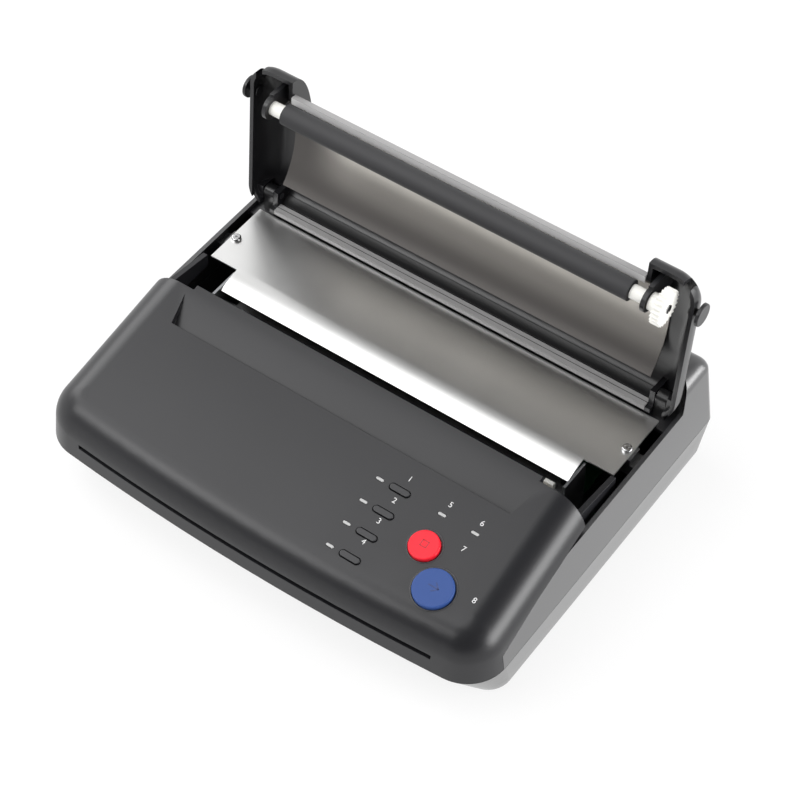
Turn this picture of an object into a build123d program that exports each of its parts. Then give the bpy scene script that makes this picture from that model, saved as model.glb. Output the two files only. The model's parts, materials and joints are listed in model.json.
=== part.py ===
"""Thermal stencil copier, standing with its lid open.

Millimetres.  +X is the user's right, +Y is away from the user and +Z is up.  The origin is on
the surface that the copier stands on, in the middle of its width and depth.  The lid pieces are
drawn shut, in the place where they work, and are then turned to the open stop.
"""
import os
from math import acos, asin, atan2, cos, degrees, hypot, radians, sin, sqrt, tan

from build123d import *

os.makedirs("parts", exist_ok=True)

# ---------------------------------------------------------------- casing
body_width = 290.0            # at the parting line, the widest level
body_depth = 231.2
front_bow_radius = 1550.0     # the front face bulges a little in plan
front_corner_radius = 24.0
rear_corner_radius = 6.0
side_draft = 6.4              # degrees, upper shells lean in
rear_draft = 3.0              # the back wall is steeper
wall = 2.5
seam_gap = 0.3
fit_gap = 0.2                 # loose fit between fixed plastic pieces

foot_height = 3.0
foot_radius = 7.0
foot_inset = 22.0             # foot centre from the tray's edges
parting_z = 29.0              # tray below, shells above
tray_side_inset = 2.4         # how far the tray draws in at its bottom
tray_front_inset = 19.0
tray_rear_inset = 6.0
tray_corner_radius = 13.5     # front corners, at the bottom
tray_edge_radius = 3.0

panel_slope = 12.3            # degrees, the control panel falls to the front
panel_rear_y = -8.4
panel_rear_z = 78.5
cover_edge_radius = 20.0
seam_front_y = -88.6          # side seam between the front cover and the rear housing
seam_front_z = 40.0
seam_bend_y = -55.0
seam_bend_z = 51.0
seam_rear_z = 61.7

rim_z = 57.6                  # rim of the rear housing, on which the lid shuts
cap_bay_y = -11.5             # front of the bays that take the lid's end caps
skirt_z = 62.0                # lower edge of the wall behind the control panel
tongue_outer = 136.5          # tongues of the front cover, inside the rear housing
tongue_width = 3.0
tongue_front_y = -24.0
tongue_rear_y = 25.0
tongue_z = 52.0
tongue_top_front_z = 66.0
tongue_top_rear_z = 60.5
bay_rear_y = 95.0             # front of the hump, clear of the open lid
bay_gap = 1.2                 # at the shut lid's sides and rear corners
hump_z = 76.0
hump_crown = 8.0              # the hump's upper edges draw in this far
hump_corner_top_radius = 4.0
trough_floor_z = 54.0

# ---------------------------------------------------------------- document well and exit slot
well_front_y = -34.0
well_front_half = 110.0
well_rear_y = -16.1
well_rear_half = 114.9
well_depth = 6.4              # below the panel, at the well's front edge
well_floor_reach = 4.0        # the floor runs on under the panel's edge
slot_half = 114.9
slot_z = 39.7
slot_height = 3.0

# ---------------------------------------------------------------- keys, buttons and lights
key_x = 54.5
key_first_y = -52.2
key_pitch = 14.4
key_count = 4
key_length = 12.0
key_width = 3.5
key_proud = 0.8
stop_x = 83.4
stop_y = -71.2
stop_radius = 8.4
copy_x = 100.8
copy_y = -88.0
copy_radius = 11.0
button_proud = 2.6
button_gap = 0.5              # ring of air round a cap
cap_travel = 1.2
flange_thickness = 1.0
flange_margin = 1.2           # the flange is this much wider than its hole
switch_height = 3.0
light_x = 42.0
status_light_x = (80.8, 101.1)
light_length = 4.6
light_width = 1.5
key_board_left = 34.0
key_board_right = 113.0
key_board_margin = 9.0        # beyond the first and the last key
key_board_boss_radius = 2.5
board_thickness = 1.6

# ---------------------------------------------------------------- lid, drawn shut
lid_half = 141.0
lid_front_y = -10.8
lid_rear_rim_z = 59.8
lid_rear_y = 89.8
lid_rim_z = 58.2
lid_wall_z = 60.7             # the upright walls end here and the crown starts
lid_top_z = 78.3
lid_corner_radius = 14.5
lid_corner_top_radius = 8.0
lid_side_crown = 13.0         # how far the crown draws in at the sides and rear
lid_front_crown = 48.0        # and at the front, where the top slopes down
lid_ear_gap = 0.3
mouth_half = 112.3            # the paper mouth between the end caps
lip_y = -1.6
lip_top_z = 60.6
ramp_end_y = 38.0             # the mouth's ramp meets the flat top here
hinge_y = 81.0
hinge_z = 66.9
lid_open_angle = 95.6
hinge_x = 130.5
bracket_width = 6.6
hinge_pin_radius = 2.0
hinge_play = 0.05
ear_thickness = 3.2
latch_y = 9.6
latch_z = 62.5
latch_radius = 6.5
latch_thickness = 2.0
latch_stem_radius = 2.0
latch_flange_radius = 3.2
latch_flange = 0.5
latch_outer = 145.0
liner_half = 121.5
liner_radius = 51.0
liner_thickness = 0.8
liner_front_y = 8.0
liner_rear_y = 70.0

# ---------------------------------------------------------------- platen roller, in the lid
platen_y = 3.5
platen_z = 49.3
platen_radius = 6.0
platen_half = 109.6
shaft_radius = 2.5
shaft_play = 0.05
bush_radius = 4.0
bush_end = 121.0
roller_bracket_x = 118.3
roller_bracket_thickness = 2.5
roller_bracket_front_y = -5.0
roller_bracket_rear_y = 7.6
roller_bracket_ring = 7.0
platen_gear_x = 126.0
gear_width = 5.0
platen_end = 131.6

# ---------------------------------------------------------------- head and its steel plate
plate_thickness = 1.0
plate_top_z = 57.6
plate_half = 133.5
plate_front_y = 27.8
plate_rear_y = 72.6
lip_half = 115.0
lip_bend_y = 30.0
lip_bend_radius = 37.0
lip_bend_angle = 27.0
plate_screw_x = 130.0
plate_screw_y = 46.4
screw_radius = 1.5
screw_head_radius = 2.9
screw_head_height = 1.9
head_half = 108.0
head_front_y = -3.0
head_depth = 27.0
head_base_z = 30.0
ceramic_thickness = 1.0
ceramic_depth = 14.0
nip_gap = 0.3                 # rubber just clear of what it presses on

# ---------------------------------------------------------------- document feed
feed_y = -64.0
feed_z = 50.8
feed_radius = 5.5
sensor_depth = 18.0
sensor_height = 11.0
glass_thickness = 1.0
glass_depth = 14.0

# ---------------------------------------------------------------- side frames and gear train
frame_x = 115.3               # inner face of each side frame
frame_thickness = 1.5
frame_front_y = -74.0
frame_rear_y = 28.0
frame_top_z = 55.0
gear_module = 0.8
gear_gap = 2.0                # from the side frame to the gears
platen_teeth = 24
feed_teeth = 16
front_idler_teeth = 32
rear_idler_teeth = 40
pinion_teeth = 12
front_idler_angle = -40.0     # seen from the right, from the gear it meshes with
pinion_angle = -60.0
mesh_clearance = 0.5          # kept open between the shut platen gear and its idler
idler_pin_radius = 2.0
motor_radius = 14.0
motor_length = 22.0
motor_shaft_radius = 1.5

# ---------------------------------------------------------------- mains inlet, boards, fasteners
inlet_x = -95.0
switch_x = -60.0
socket_z = 42.0
inlet_width = 27.0
inlet_height = 20.0
inlet_depth = 24.0
socket_wall = 1.6
socket_depth = 17.0
pin_length = 12.0
flange_border = 2.0
panel_flange = 1.6
switch_width = 13.0
switch_tall = 19.2
switch_depth = 14.0
rocker_tilt = 8.0
board_z = 9.0
post_radius = 4.0
post_x = 129.0
post_foot_z = 12.0
front_post_y = -46.0
rear_post_y = 102.0

# ---------------------------------------------------------------- values that follow
half_width = body_width / 2
front_y = -body_depth / 2
rear_y = body_depth / 2
floor_z = foot_height + wall
panel_plane = Plane(
    origin=(0, panel_rear_y, panel_rear_z),
    x_dir=(1, 0, 0),
    z_dir=(0, -sin(radians(panel_slope)), cos(radians(panel_slope))),
)
hinge_axis = Axis((0, hinge_y, hinge_z), (1, 0, 0))
crown_angles = [radians(15 * n) for n in range(7)]
glass_top_z = feed_z - feed_radius - nip_gap
head_top_z = platen_z - platen_radius - nip_gap


def panel_z(y):
    """Height of the control panel's surface at depth y."""
    return panel_rear_z + (y - panel_rear_y) * tan(radians(panel_slope))


def panel_spot(x, y, lift=0.0):
    """A plane on the panel's surface at (x, y), raised along the panel's normal."""
    return Plane(origin=(x, y, panel_z(y)), x_dir=panel_plane.x_dir, z_dir=panel_plane.z_dir).offset(lift)


def draft_inset(z):
    """How far the drafted upper shells have drawn in at height z."""
    return (z - parting_z) * tan(radians(side_draft))


def rear_inset(z):
    """How far the back wall has drawn in at height z."""
    return (z - parting_z) * tan(radians(rear_draft))


def save(part, name):
    """Label a finished piece and write it."""
    part.label = name
    export_step(part, f"parts/{name}.step")


def opened(part):
    """Turn a piece drawn with the lid shut to the lid's open stop."""
    return part.rotate(hinge_axis, -lid_open_angle)


def plan_outline(half, front, rear, bow, front_radius, rear_radius):
    """Plan of the casing: straight sides and back, bowed front, round corners."""
    sagitta = bow - sqrt(bow**2 - half**2)
    with BuildSketch() as outline:
        with BuildLine():
            Polyline((half, front + sagitta), (half, rear), (-half, rear), (-half, front + sagitta))
            ThreePointArc((-half, front + sagitta), (0, front), (half, front + sagitta))
        make_face()
        fillet(outline.vertices().group_by(Axis.Y)[0], front_radius)
        fillet(outline.vertices().group_by(Axis.Y)[-1], rear_radius)
    return outline.sketch


def cover_form(inset):
    """The upper casing's form under the panel's plane, drawn in by inset."""
    outline = plan_outline(
        half_width - inset,
        front_y + inset,
        rear_y - inset,
        front_bow_radius - inset,
        front_corner_radius - inset,
        front_corner_radius - inset,
    )
    with BuildPart() as block:
        with BuildSketch(Plane.XY.offset(parting_z)):
            add(outline)
        extrude(amount=2 * (panel_rear_z - parting_z), taper=side_draft)
        split(bisect_by=panel_plane.offset(-inset), keep=Keep.BOTTOM)
        fillet(block.faces().sort_by(Axis.Z)[-1].edges(), cover_edge_radius - inset)
    return block.part


def hump_level(z, drawn, inset):
    """The rear casing's plan at height z, with a share of its crown drawn in."""
    crown = drawn * (hump_crown - inset)
    outline = plan_outline(
        half_width - draft_inset(z) - inset - crown,
        front_y + inset,
        rear_y - rear_inset(z) - inset - crown,
        front_bow_radius,
        front_corner_radius,
        rear_corner_radius - drawn * (rear_corner_radius - hump_corner_top_radius) - inset / 2,
    )
    with BuildSketch(Plane.XY.offset(z)) as level:
        add(outline)
    return level.sketch


def housing_form(inset):
    """The rear casing's form, drawn in by inset: leaning walls under a rounded crown."""
    crown_height = hump_crown - inset
    crown_z = hump_z - hump_crown
    walls = [hump_level(parting_z, 0, inset), hump_level(crown_z, 0, inset)]
    crown = [
        hump_level(crown_z + crown_height * sin(angle), 1 - cos(angle), inset) for angle in crown_angles
    ]
    return walled_crown(walls, crown)


def walled_crown(walls, crown):
    """A solid through two plans of its walls and the plans of the crown over them."""
    with BuildPart() as block:
        loft(sections=walls, ruled=True)
        loft(sections=crown)
    return block.part


def tray_outline(z, inset):
    """Plan of the tray at height z."""
    drawn = (parting_z - z) / (parting_z - foot_height)
    return plan_outline(
        half_width - inset - drawn * tray_side_inset,
        front_y + inset + drawn * tray_front_inset,
        rear_y - inset - drawn * tray_rear_inset,
        front_bow_radius - inset,
        front_corner_radius - drawn * (front_corner_radius - tray_corner_radius) - inset,
        rear_corner_radius - inset / 2,
    )


def tray_block(inset, bottom_z):
    """The tray's form between bottom_z and the parting line."""
    bottom = tray_outline(bottom_z, inset)
    top = tray_outline(parting_z, inset)
    with BuildPart() as block:
        with BuildSketch(Plane.XY.offset(bottom_z)):
            add(bottom)
        with BuildSketch(Plane.XY.offset(parting_z)):
            add(top)
        loft(ruled=True)
    return block.part


def side_prism(points, half):
    """A side-view polygon of (y, z) points, as wide as half to either side."""
    with BuildPart() as prism:
        with BuildSketch(Plane.YZ):
            with BuildLine():
                Polyline(*points, close=True)
            make_face()
        extrude(amount=half, both=True)
    return prism.part


def box(x0, x1, y0, y1, z0, z1):
    """A box between two corners."""
    with BuildPart() as block:
        with Locations(((x0 + x1) / 2, (y0 + y1) / 2, (z0 + z1) / 2)):
            Box(x1 - x0, y1 - y0, z1 - z0)
    return block.part


def rod(x0, x1, y, z, radius):
    """A round bar along X between x0 and x1."""
    with BuildPart() as bar:
        with BuildSketch(Plane.YZ.offset(x0)):
            with Locations((y, z)):
                Circle(radius)
        extrude(amount=x1 - x0)
    return bar.part


def mirrored(part):
    """The piece for the other side."""
    return part.mirror(Plane.YZ)


def pair(part):
    """A piece and its mirror image, as one group."""
    return Compound(children=[part, mirrored(part)])


# ---------------------------------------------------------------- shared forms
cover_block = cover_form(0)
cover_core = cover_form(wall)
cover_middle = cover_form(wall / 2)
housing_block = housing_form(0)
housing_core = housing_form(wall)
housing_middle = housing_form(wall / 2)
bay_half = lid_half + bay_gap
bay_corner_radius = lid_corner_radius + bay_gap
bay_corner_y = bay_rear_y - bay_corner_radius
far_half = half_width + wall
far_z = 2 * panel_rear_z
far_y = body_depth
housing_region = side_prism(
    (
        (seam_front_y, parting_z + seam_gap),
        (seam_front_y, seam_front_z),
        (seam_bend_y, seam_bend_z),
        (cap_bay_y, seam_rear_z),
        (cap_bay_y, rim_z),
        (bay_corner_y, rim_z),
        (bay_corner_y, far_z),
        (far_y, far_z),
        (far_y, parting_z + seam_gap),
    ),
    far_half,
)
cover_region = side_prism(
    (
        (-far_y, parting_z + seam_gap),
        (seam_front_y - seam_gap, parting_z + seam_gap),
        (seam_front_y - seam_gap, seam_front_z + seam_gap),
        (seam_bend_y, seam_bend_z + seam_gap),
        (cap_bay_y, seam_rear_z + seam_gap),
        (panel_rear_y, seam_rear_z + seam_gap),
        (panel_rear_y, far_z),
        (-far_y, far_z),
    ),
    far_half,
)

# ---------------------------------------------------------------- screw posts
front_posts = ((post_x, front_post_y), (-post_x, front_post_y))
rear_posts = ((post_x, rear_post_y), (-post_x, rear_post_y))
screw_seat_z = foot_height + 4.0
screw_end_z = post_foot_z + 12.0


def upright(spots, radius, z0, z1):
    """Round posts at the given (x, y) spots, from z0 up to z1."""
    with BuildPart() as posts:
        with BuildSketch(Plane.XY.offset(z0)):
            with Locations(*spots):
                Circle(radius)
        extrude(amount=z1 - z0)
    return posts.part


# ---------------------------------------------------------------- base tray
main_board_box = (-95.0, 45.0, 35.0, 100.0)
power_board_box = (55.0, 110.0, 35.0, 100.0)
standoff_inset = 4.0
standoff_radius = 3.0


def board_corners(area):
    """The four standoff spots of a board given as (x0, x1, y0, y1)."""
    x0, x1, y0, y1 = area
    return [
        (x, y)
        for x in (x0 + standoff_inset, x1 - standoff_inset)
        for y in (y0 + standoff_inset, y1 - standoff_inset)
    ]


tray_bosses = upright(front_posts + rear_posts, post_radius, foot_height + wall / 2, post_foot_z)
standoffs = upright(
    board_corners(main_board_box) + board_corners(power_board_box),
    standoff_radius,
    foot_height + wall / 2,
    board_z,
)
tray_solid = tray_block(0, foot_height)
tray_core = tray_block(wall, floor_z)
screw_clearance = upright(
    front_posts + rear_posts, screw_radius + fit_gap, foot_height, post_foot_z
)
screw_pockets = upright(
    front_posts + rear_posts, screw_head_radius + fit_gap, foot_height, screw_seat_z
)
with BuildPart() as base_tray:
    add(tray_solid)
    fillet(base_tray.faces().sort_by(Axis.Z)[0].edges(), tray_edge_radius)
    add(tray_core, mode=Mode.SUBTRACT)
    add(tray_bosses)
    add(standoffs)
    add(screw_clearance, mode=Mode.SUBTRACT)
    add(screw_pockets, mode=Mode.SUBTRACT)
save(base_tray.part, "base_tray")

foot_x = half_width - tray_side_inset - foot_inset
foot_front_y = front_y + tray_front_inset + foot_inset
foot_back_y = rear_y - tray_rear_inset - foot_inset
with BuildPart() as rubber_feet:
    with BuildSketch():
        with Locations(*[(x, y) for x in (-foot_x, foot_x) for y in (foot_front_y, foot_back_y)]):
            Circle(foot_radius)
    extrude(amount=foot_height)
    chamfer(rubber_feet.faces().group_by(Axis.Z)[0].edges(), 0.6)
save(rubber_feet.part, "rubber_feet")

with BuildPart() as base_screws:
    with BuildSketch(Plane.XY.offset(screw_seat_z - screw_head_height)):
        with Locations(*front_posts, *rear_posts):
            Circle(screw_head_radius)
    extrude(amount=screw_head_height)
    with BuildSketch(Plane.XY.offset(screw_seat_z)):
        with Locations(*front_posts, *rear_posts):
            Circle(screw_radius)
    extrude(amount=screw_end_z - screw_seat_z)
save(base_screws.part, "base_screws")

# ---------------------------------------------------------------- rear housing
socket_y = rear_y - rear_inset(socket_z)
rear_wall_normal = (0, cos(radians(rear_draft)), sin(radians(rear_draft)))


def socket_plane(x, lift=0.0):
    """A plane on the drafted rear wall at x, raised outwards."""
    return Plane(origin=(x, socket_y, socket_z), x_dir=(-1, 0, 0), z_dir=rear_wall_normal).offset(lift)


def socket_block(x, width, height, back, front):
    """A box on the rear wall's plane, from back to front along its normal."""
    with BuildPart() as block:
        with BuildSketch(socket_plane(x, back)):
            Rectangle(width, height)
        extrude(amount=front - back)
    return block.part




def lid_bay(margin, bottom_z):
    """The space behind the plate that takes the shut lid's rear, wider by margin, upwards of bottom_z."""
    with BuildPart() as bay:
        with BuildSketch(Plane.XY.offset(bottom_z)):
            with Locations((0, bay_rear_y + margin - far_y / 2)):
                RectangleRounded(2 * (bay_half + margin), far_y, bay_corner_radius + margin)
        extrude(amount=far_z - bottom_z)
    return bay.part


trough_rear = box(-far_half, far_half, bay_corner_y, far_y, trough_floor_z - wall, far_z)
trough_floor = box(
    -far_half,
    far_half,
    plate_rear_y - wall,
    bay_rear_y + wall,
    trough_floor_z - wall,
    trough_floor_z,
)
with BuildPart() as trough_wall:
    add(lid_bay(wall, trough_floor_z - wall))
    add(trough_rear, mode=Mode.INTERSECT)
    add(lid_bay(0, trough_floor_z), mode=Mode.SUBTRACT)
    add(trough_floor, mode=Mode.SUBTRACT)
plate_rest_z = plate_top_z - plate_thickness
plate_rest = box(-plate_half, plate_half, plate_rear_y - wall, plate_rear_y, trough_floor_z, plate_rest_z)
boss_half = 5.0
plate_boss = box(
    plate_screw_x - boss_half,
    plate_screw_x + boss_half,
    plate_screw_y - boss_half,
    plate_screw_y + boss_half,
    plate_rest_z - 12.0,
    plate_rest_z,
)
boss_rib = box(
    plate_screw_x,
    far_half,
    plate_screw_y - boss_half,
    plate_screw_y + boss_half,
    plate_rest_z - 12.0,
    plate_rest_z - 4.0,
)
plate_screw_end_z = plate_rest_z - 8.0
plate_screw_spots = ((plate_screw_x, plate_screw_y), (-plate_screw_x, plate_screw_y))
plate_screw_holes = upright(
    plate_screw_spots, screw_radius + fit_gap / 2, plate_screw_end_z - 1.0, plate_rest_z
)
rear_post_solid = upright(rear_posts, post_radius, post_foot_z, far_z)
rear_post_holes = upright(rear_posts, screw_radius + fit_gap / 2, post_foot_z, screw_end_z + 1.0)
socket_holes = []
for x, width, height in ((inlet_x, inlet_width, inlet_height), (switch_x, switch_width, switch_tall)):
    body_room = 2 * fit_gap
    flange_room = 2 * fit_gap + 2 * flange_border
    socket_holes += [socket_block(x, width + body_room, height + body_room, -2 * wall, wall)]
    socket_holes += [
        socket_block(x, width + flange_room, height + flange_room, -panel_flange, wall)
    ]
with BuildPart() as housing_inside:
    add(trough_wall.part)
    add(trough_floor)
    add(plate_rest)
    add(plate_boss)
    add(boss_rib)
    add(mirrored(plate_boss))
    add(mirrored(boss_rib))
    add(rear_post_solid)
    add(housing_middle, mode=Mode.INTERSECT)
with BuildPart() as rear_housing:
    add(housing_block)
    add(housing_core, mode=Mode.SUBTRACT)
    add(housing_region, mode=Mode.INTERSECT)
    add(lid_bay(0, rim_z), mode=Mode.SUBTRACT)
    add(housing_inside.part)
    add(plate_screw_holes, mode=Mode.SUBTRACT)
    add(rear_post_holes, mode=Mode.SUBTRACT)
    for hole in socket_holes:
        add(hole, mode=Mode.SUBTRACT)
save(rear_housing.part, "rear_housing")

bracket_radius = 4.1
with BuildPart() as hinge_bracket:
    with BuildSketch(Plane.YZ.offset(hinge_x - bracket_width / 2)):
        with Locations((hinge_y, hinge_z)):
            Circle(bracket_radius)
        with Locations((hinge_y, (hinge_z + trough_floor_z) / 2)):
            Rectangle(2 * bracket_radius, hinge_z - trough_floor_z)
        with Locations((hinge_y, hinge_z)):
            Circle(hinge_pin_radius + hinge_play, mode=Mode.SUBTRACT)
    extrude(amount=bracket_width)
save(pair(hinge_bracket.part), "hinge_brackets")

# ---------------------------------------------------------------- front cover
ramp_angle = degrees(
    atan2(panel_z(well_rear_y) - panel_z(well_front_y) + well_depth, well_rear_y - well_front_y)
)
ramp_front_z = panel_z(well_front_y) - well_depth
ramp_plane = Plane(
    origin=(0, well_front_y, ramp_front_z),
    x_dir=(1, 0, 0),
    z_dir=(0, -sin(radians(ramp_angle)), cos(radians(ramp_angle))),
)
ramp_end_front_y = well_front_y - well_floor_reach
panel_under_z = panel_z(well_front_y) - wall / cos(radians(panel_slope))


def ramp_z(y, below=0.0):
    """Height of the well's sloping floor, or of a surface below it, at depth y."""
    return ramp_front_z + (y - well_front_y) * tan(radians(ramp_angle)) - below / cos(radians(ramp_angle))


with BuildPart() as well_cavity:
    with BuildSketch(Plane.XY.offset(parting_z)):
        Polygon(
            (-well_front_half, well_front_y),
            (well_front_half, well_front_y),
            (well_rear_half, well_rear_y),
            (-well_rear_half, well_rear_y),
            align=None,
        )
    extrude(amount=far_z - parting_z)
    split(bisect_by=ramp_plane, keep=Keep.TOP)
well_mass = side_prism(
    (
        (ramp_end_front_y, ramp_z(ramp_end_front_y, wall)),
        (ramp_end_front_y, panel_z(ramp_end_front_y)),
        (well_rear_y + wall, panel_z(well_rear_y + wall)),
        (well_rear_y + wall, ramp_z(well_rear_y, wall)),
        (well_rear_y, ramp_z(well_rear_y, wall)),
    ),
    well_rear_half + wall,
)
feed_mouth = side_prism(
    (
        (ramp_end_front_y - wall, ramp_z(ramp_end_front_y - wall)),
        (ramp_end_front_y - wall, panel_under_z - (well_floor_reach + wall) * tan(radians(panel_slope))),
        (well_front_y, panel_under_z),
        (well_front_y, ramp_front_z),
    ),
    well_front_half,
)
exit_slot = box(
    -slot_half,
    slot_half,
    -far_y,
    front_y + cover_edge_radius / 2,
    slot_z - slot_height / 2,
    slot_z + slot_height / 2,
)
bay_cut = box(mouth_half, far_half, cap_bay_y, 0, parting_z, far_z)
rear_skirt = box(-mouth_half, mouth_half, panel_rear_y - wall, panel_rear_y, skirt_z, far_z)
bay_outer = tongue_outer - tongue_width
bay_skirt = box(mouth_half - wall, tongue_outer, cap_bay_y - wall, cap_bay_y, skirt_z, far_z)
bay_side = box(mouth_half - wall, mouth_half, cap_bay_y - wall, panel_rear_y, skirt_z, far_z)
with BuildPart() as tongue:
    with BuildSketch(Plane.YZ.offset(bay_outer)):
        Polygon(
            (tongue_front_y, tongue_z),
            (tongue_front_y, far_z),
            (cap_bay_y, far_z),
            (cap_bay_y, tongue_top_front_z),
            (tongue_rear_y, tongue_top_rear_z),
            (tongue_rear_y, tongue_z),
            align=None,
        )
    extrude(amount=tongue_width)
front_post_solid = upright(front_posts, post_radius, post_foot_z, far_z)
front_post_holes = upright(front_posts, screw_radius + fit_gap / 2, post_foot_z, screw_end_z + 1.0)


def pill(length, width):
    """Outline with half-round ends."""
    with BuildSketch() as face:
        SlotOverall(length, width)
    return face.sketch


def disc(radius):
    """Round outline."""
    with BuildSketch() as face:
        Circle(radius)
    return face.sketch


def on_panel(outline, x, y, back, front):
    """An outline at a spot of the panel, extruded from back to front along its normal."""
    with BuildPart() as block:
        with BuildSketch(panel_spot(x, y, back)):
            add(outline)
        extrude(amount=front - back)
    return block.part


key_spots = [(key_x, key_first_y - n * key_pitch) for n in range(key_count)]
light_spots = [(light_x, y) for x, y in key_spots] + [(x, key_first_y) for x in status_light_x]
key_board_depth = wall + flange_thickness + cap_travel + switch_height
key_board_front_y = key_spots[-1][1] - key_board_margin
key_board_rear_y = key_spots[0][1] + key_board_margin
board_boss_spots = [
    (x, y)
    for x in (key_board_left + standoff_inset, key_board_right - standoff_inset)
    for y in (key_board_front_y + standoff_inset, key_board_rear_y - standoff_inset)
]
key_hole = pill(key_length + 2 * button_gap, key_width + 2 * button_gap)
light_hole = pill(light_length + 2 * fit_gap, light_width + 2 * fit_gap)
stop_hole = disc(stop_radius + button_gap)
copy_hole = disc(copy_radius + button_gap)
seat_extra = button_gap + flange_margin + fit_gap
key_seat = pill(key_length + 2 * seat_extra, key_width + 2 * seat_extra)
cap_seats = [(key_seat, x, y) for x, y in key_spots]
cap_seats += [(disc(stop_radius + seat_extra), stop_x, stop_y)]
cap_seats += [(disc(copy_radius + seat_extra), copy_x, copy_y)]
panel_openings = [(key_hole, x, y) for x, y in key_spots]
panel_openings += [(light_hole, x, y) for x, y in light_spots]
panel_openings += [(stop_hole, stop_x, stop_y), (copy_hole, copy_x, copy_y)]
panel_holes = [on_panel(outline, x, y, -2 * wall, wall) for outline, x, y in panel_openings]
panel_holes += [on_panel(outline, x, y, -key_board_depth, -wall) for outline, x, y in cap_seats]
board_boss = disc(key_board_boss_radius)
board_bosses = [on_panel(board_boss, x, y, -key_board_depth, 0) for x, y in board_boss_spots]
with BuildPart() as cover_inside:
    add(well_mass)
    add(rear_skirt)
    add(bay_skirt)
    add(bay_side)
    add(tongue.part)
    add(mirrored(bay_skirt))
    add(mirrored(bay_side))
    add(mirrored(tongue.part))
    add(front_post_solid)
    for boss in board_bosses:
        add(boss)
    add(cover_middle, mode=Mode.INTERSECT)
with BuildPart() as front_cover:
    add(cover_block)
    add(cover_core, mode=Mode.SUBTRACT)
    add(cover_region, mode=Mode.INTERSECT)
    add(bay_cut, mode=Mode.SUBTRACT)
    add(mirrored(bay_cut), mode=Mode.SUBTRACT)
    add(cover_inside.part)
    add(well_cavity.part, mode=Mode.SUBTRACT)
    add(feed_mouth, mode=Mode.SUBTRACT)
    add(exit_slot, mode=Mode.SUBTRACT)
    add(front_post_holes, mode=Mode.SUBTRACT)
    for hole in panel_holes:
        add(hole, mode=Mode.SUBTRACT)
save(front_cover.part, "front_cover")

# ---------------------------------------------------------------- panel pieces
switch_radius = 2.0
with BuildPart() as key_board_plate:
    with BuildSketch(panel_spot(0, panel_rear_y, -key_board_depth - board_thickness)):
        along = cos(radians(panel_slope))
        with Locations(
            (
                (key_board_left + key_board_right) / 2,
                ((key_board_front_y + key_board_rear_y) / 2 - panel_rear_y) / along,
            )
        ):
            Rectangle(
                key_board_right - key_board_left, (key_board_rear_y - key_board_front_y) / along
            )
    extrude(amount=board_thickness)
cap_spots = key_spots + [(stop_x, stop_y), (copy_x, copy_y)]
switch_bodies = [
    on_panel(disc(switch_radius), x, y, -key_board_depth, switch_height - key_board_depth)
    for x, y in cap_spots
]
with BuildPart() as key_board:
    add(key_board_plate.part)
    for body in switch_bodies:
        add(body)
save(key_board.part, "key_board")

light_face = pill(light_length, light_width)
lights = [on_panel(light_face, x, y, -key_board_depth, fit_gap) for x, y in light_spots]
with BuildPart() as light_pipes:
    for light in lights:
        add(light)
save(light_pipes.part, "light_pipes")


def press_cap(face, flange, x, y, proud, edge_radius):
    """A cap in its panel hole, held from below by its flange."""
    cap_face = on_panel(face, x, y, -wall, proud)
    cap_flange = on_panel(flange, x, y, -wall - flange_thickness, -wall)
    with BuildPart() as cap:
        add(cap_face)
        fillet(cap.faces().sort_by(Axis.Z)[-1].edges(), edge_radius)
        add(cap_flange)
    return cap.part


flange_extra = button_gap + flange_margin
key_face = pill(key_length, key_width)
key_flange = pill(key_length + 2 * flange_extra, key_width + 2 * flange_extra)
for number, (x, y) in enumerate(key_spots, start=1):
    save(press_cap(key_face, key_flange, x, y, key_proud, 0.4), f"mode_key_{number}")
stop_flange = disc(stop_radius + flange_extra)
copy_flange = disc(copy_radius + flange_extra)
save(press_cap(disc(stop_radius), stop_flange, stop_x, stop_y, button_proud, 0.8), "stop_button")
save(press_cap(disc(copy_radius), copy_flange, copy_x, copy_y, button_proud, 0.8), "copy_button")

# ---------------------------------------------------------------- steel plate and thermal head
lip_centre_z = plate_top_z - lip_bend_radius
with BuildPart() as paper_plate:
    with BuildSketch(Plane.YZ):
        with BuildLine():
            top = Line((plate_rear_y, plate_top_z), (lip_bend_y, plate_top_z))
            bend = CenterArc((lip_bend_y, lip_centre_z), lip_bend_radius, 90, lip_bend_angle)
            inner = CenterArc(
                (lip_bend_y, lip_centre_z), lip_bend_radius - plate_thickness, 90, lip_bend_angle
            )
            Line(bend @ 1, inner @ 1)
            Line(inner @ 0, (plate_rear_y, plate_rest_z))
            Line((plate_rear_y, plate_rest_z), (plate_rear_y, plate_top_z))
        make_face()
    extrude(amount=lip_half, both=True)
    with BuildSketch(Plane.XY.offset(plate_rest_z)):
        with Locations((0, (plate_front_y + plate_rear_y) / 2)):
            Rectangle(2 * plate_half, plate_rear_y - plate_front_y)
            Rectangle(2 * lip_half, plate_rear_y - plate_front_y, mode=Mode.SUBTRACT)
    extrude(amount=plate_thickness)
    with Locations(Plane.XY.offset(plate_top_z)):
        with Locations(*plate_screw_spots):
            Hole(screw_radius + fit_gap / 2, depth=plate_thickness)
save(paper_plate.part, "paper_plate")

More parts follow.
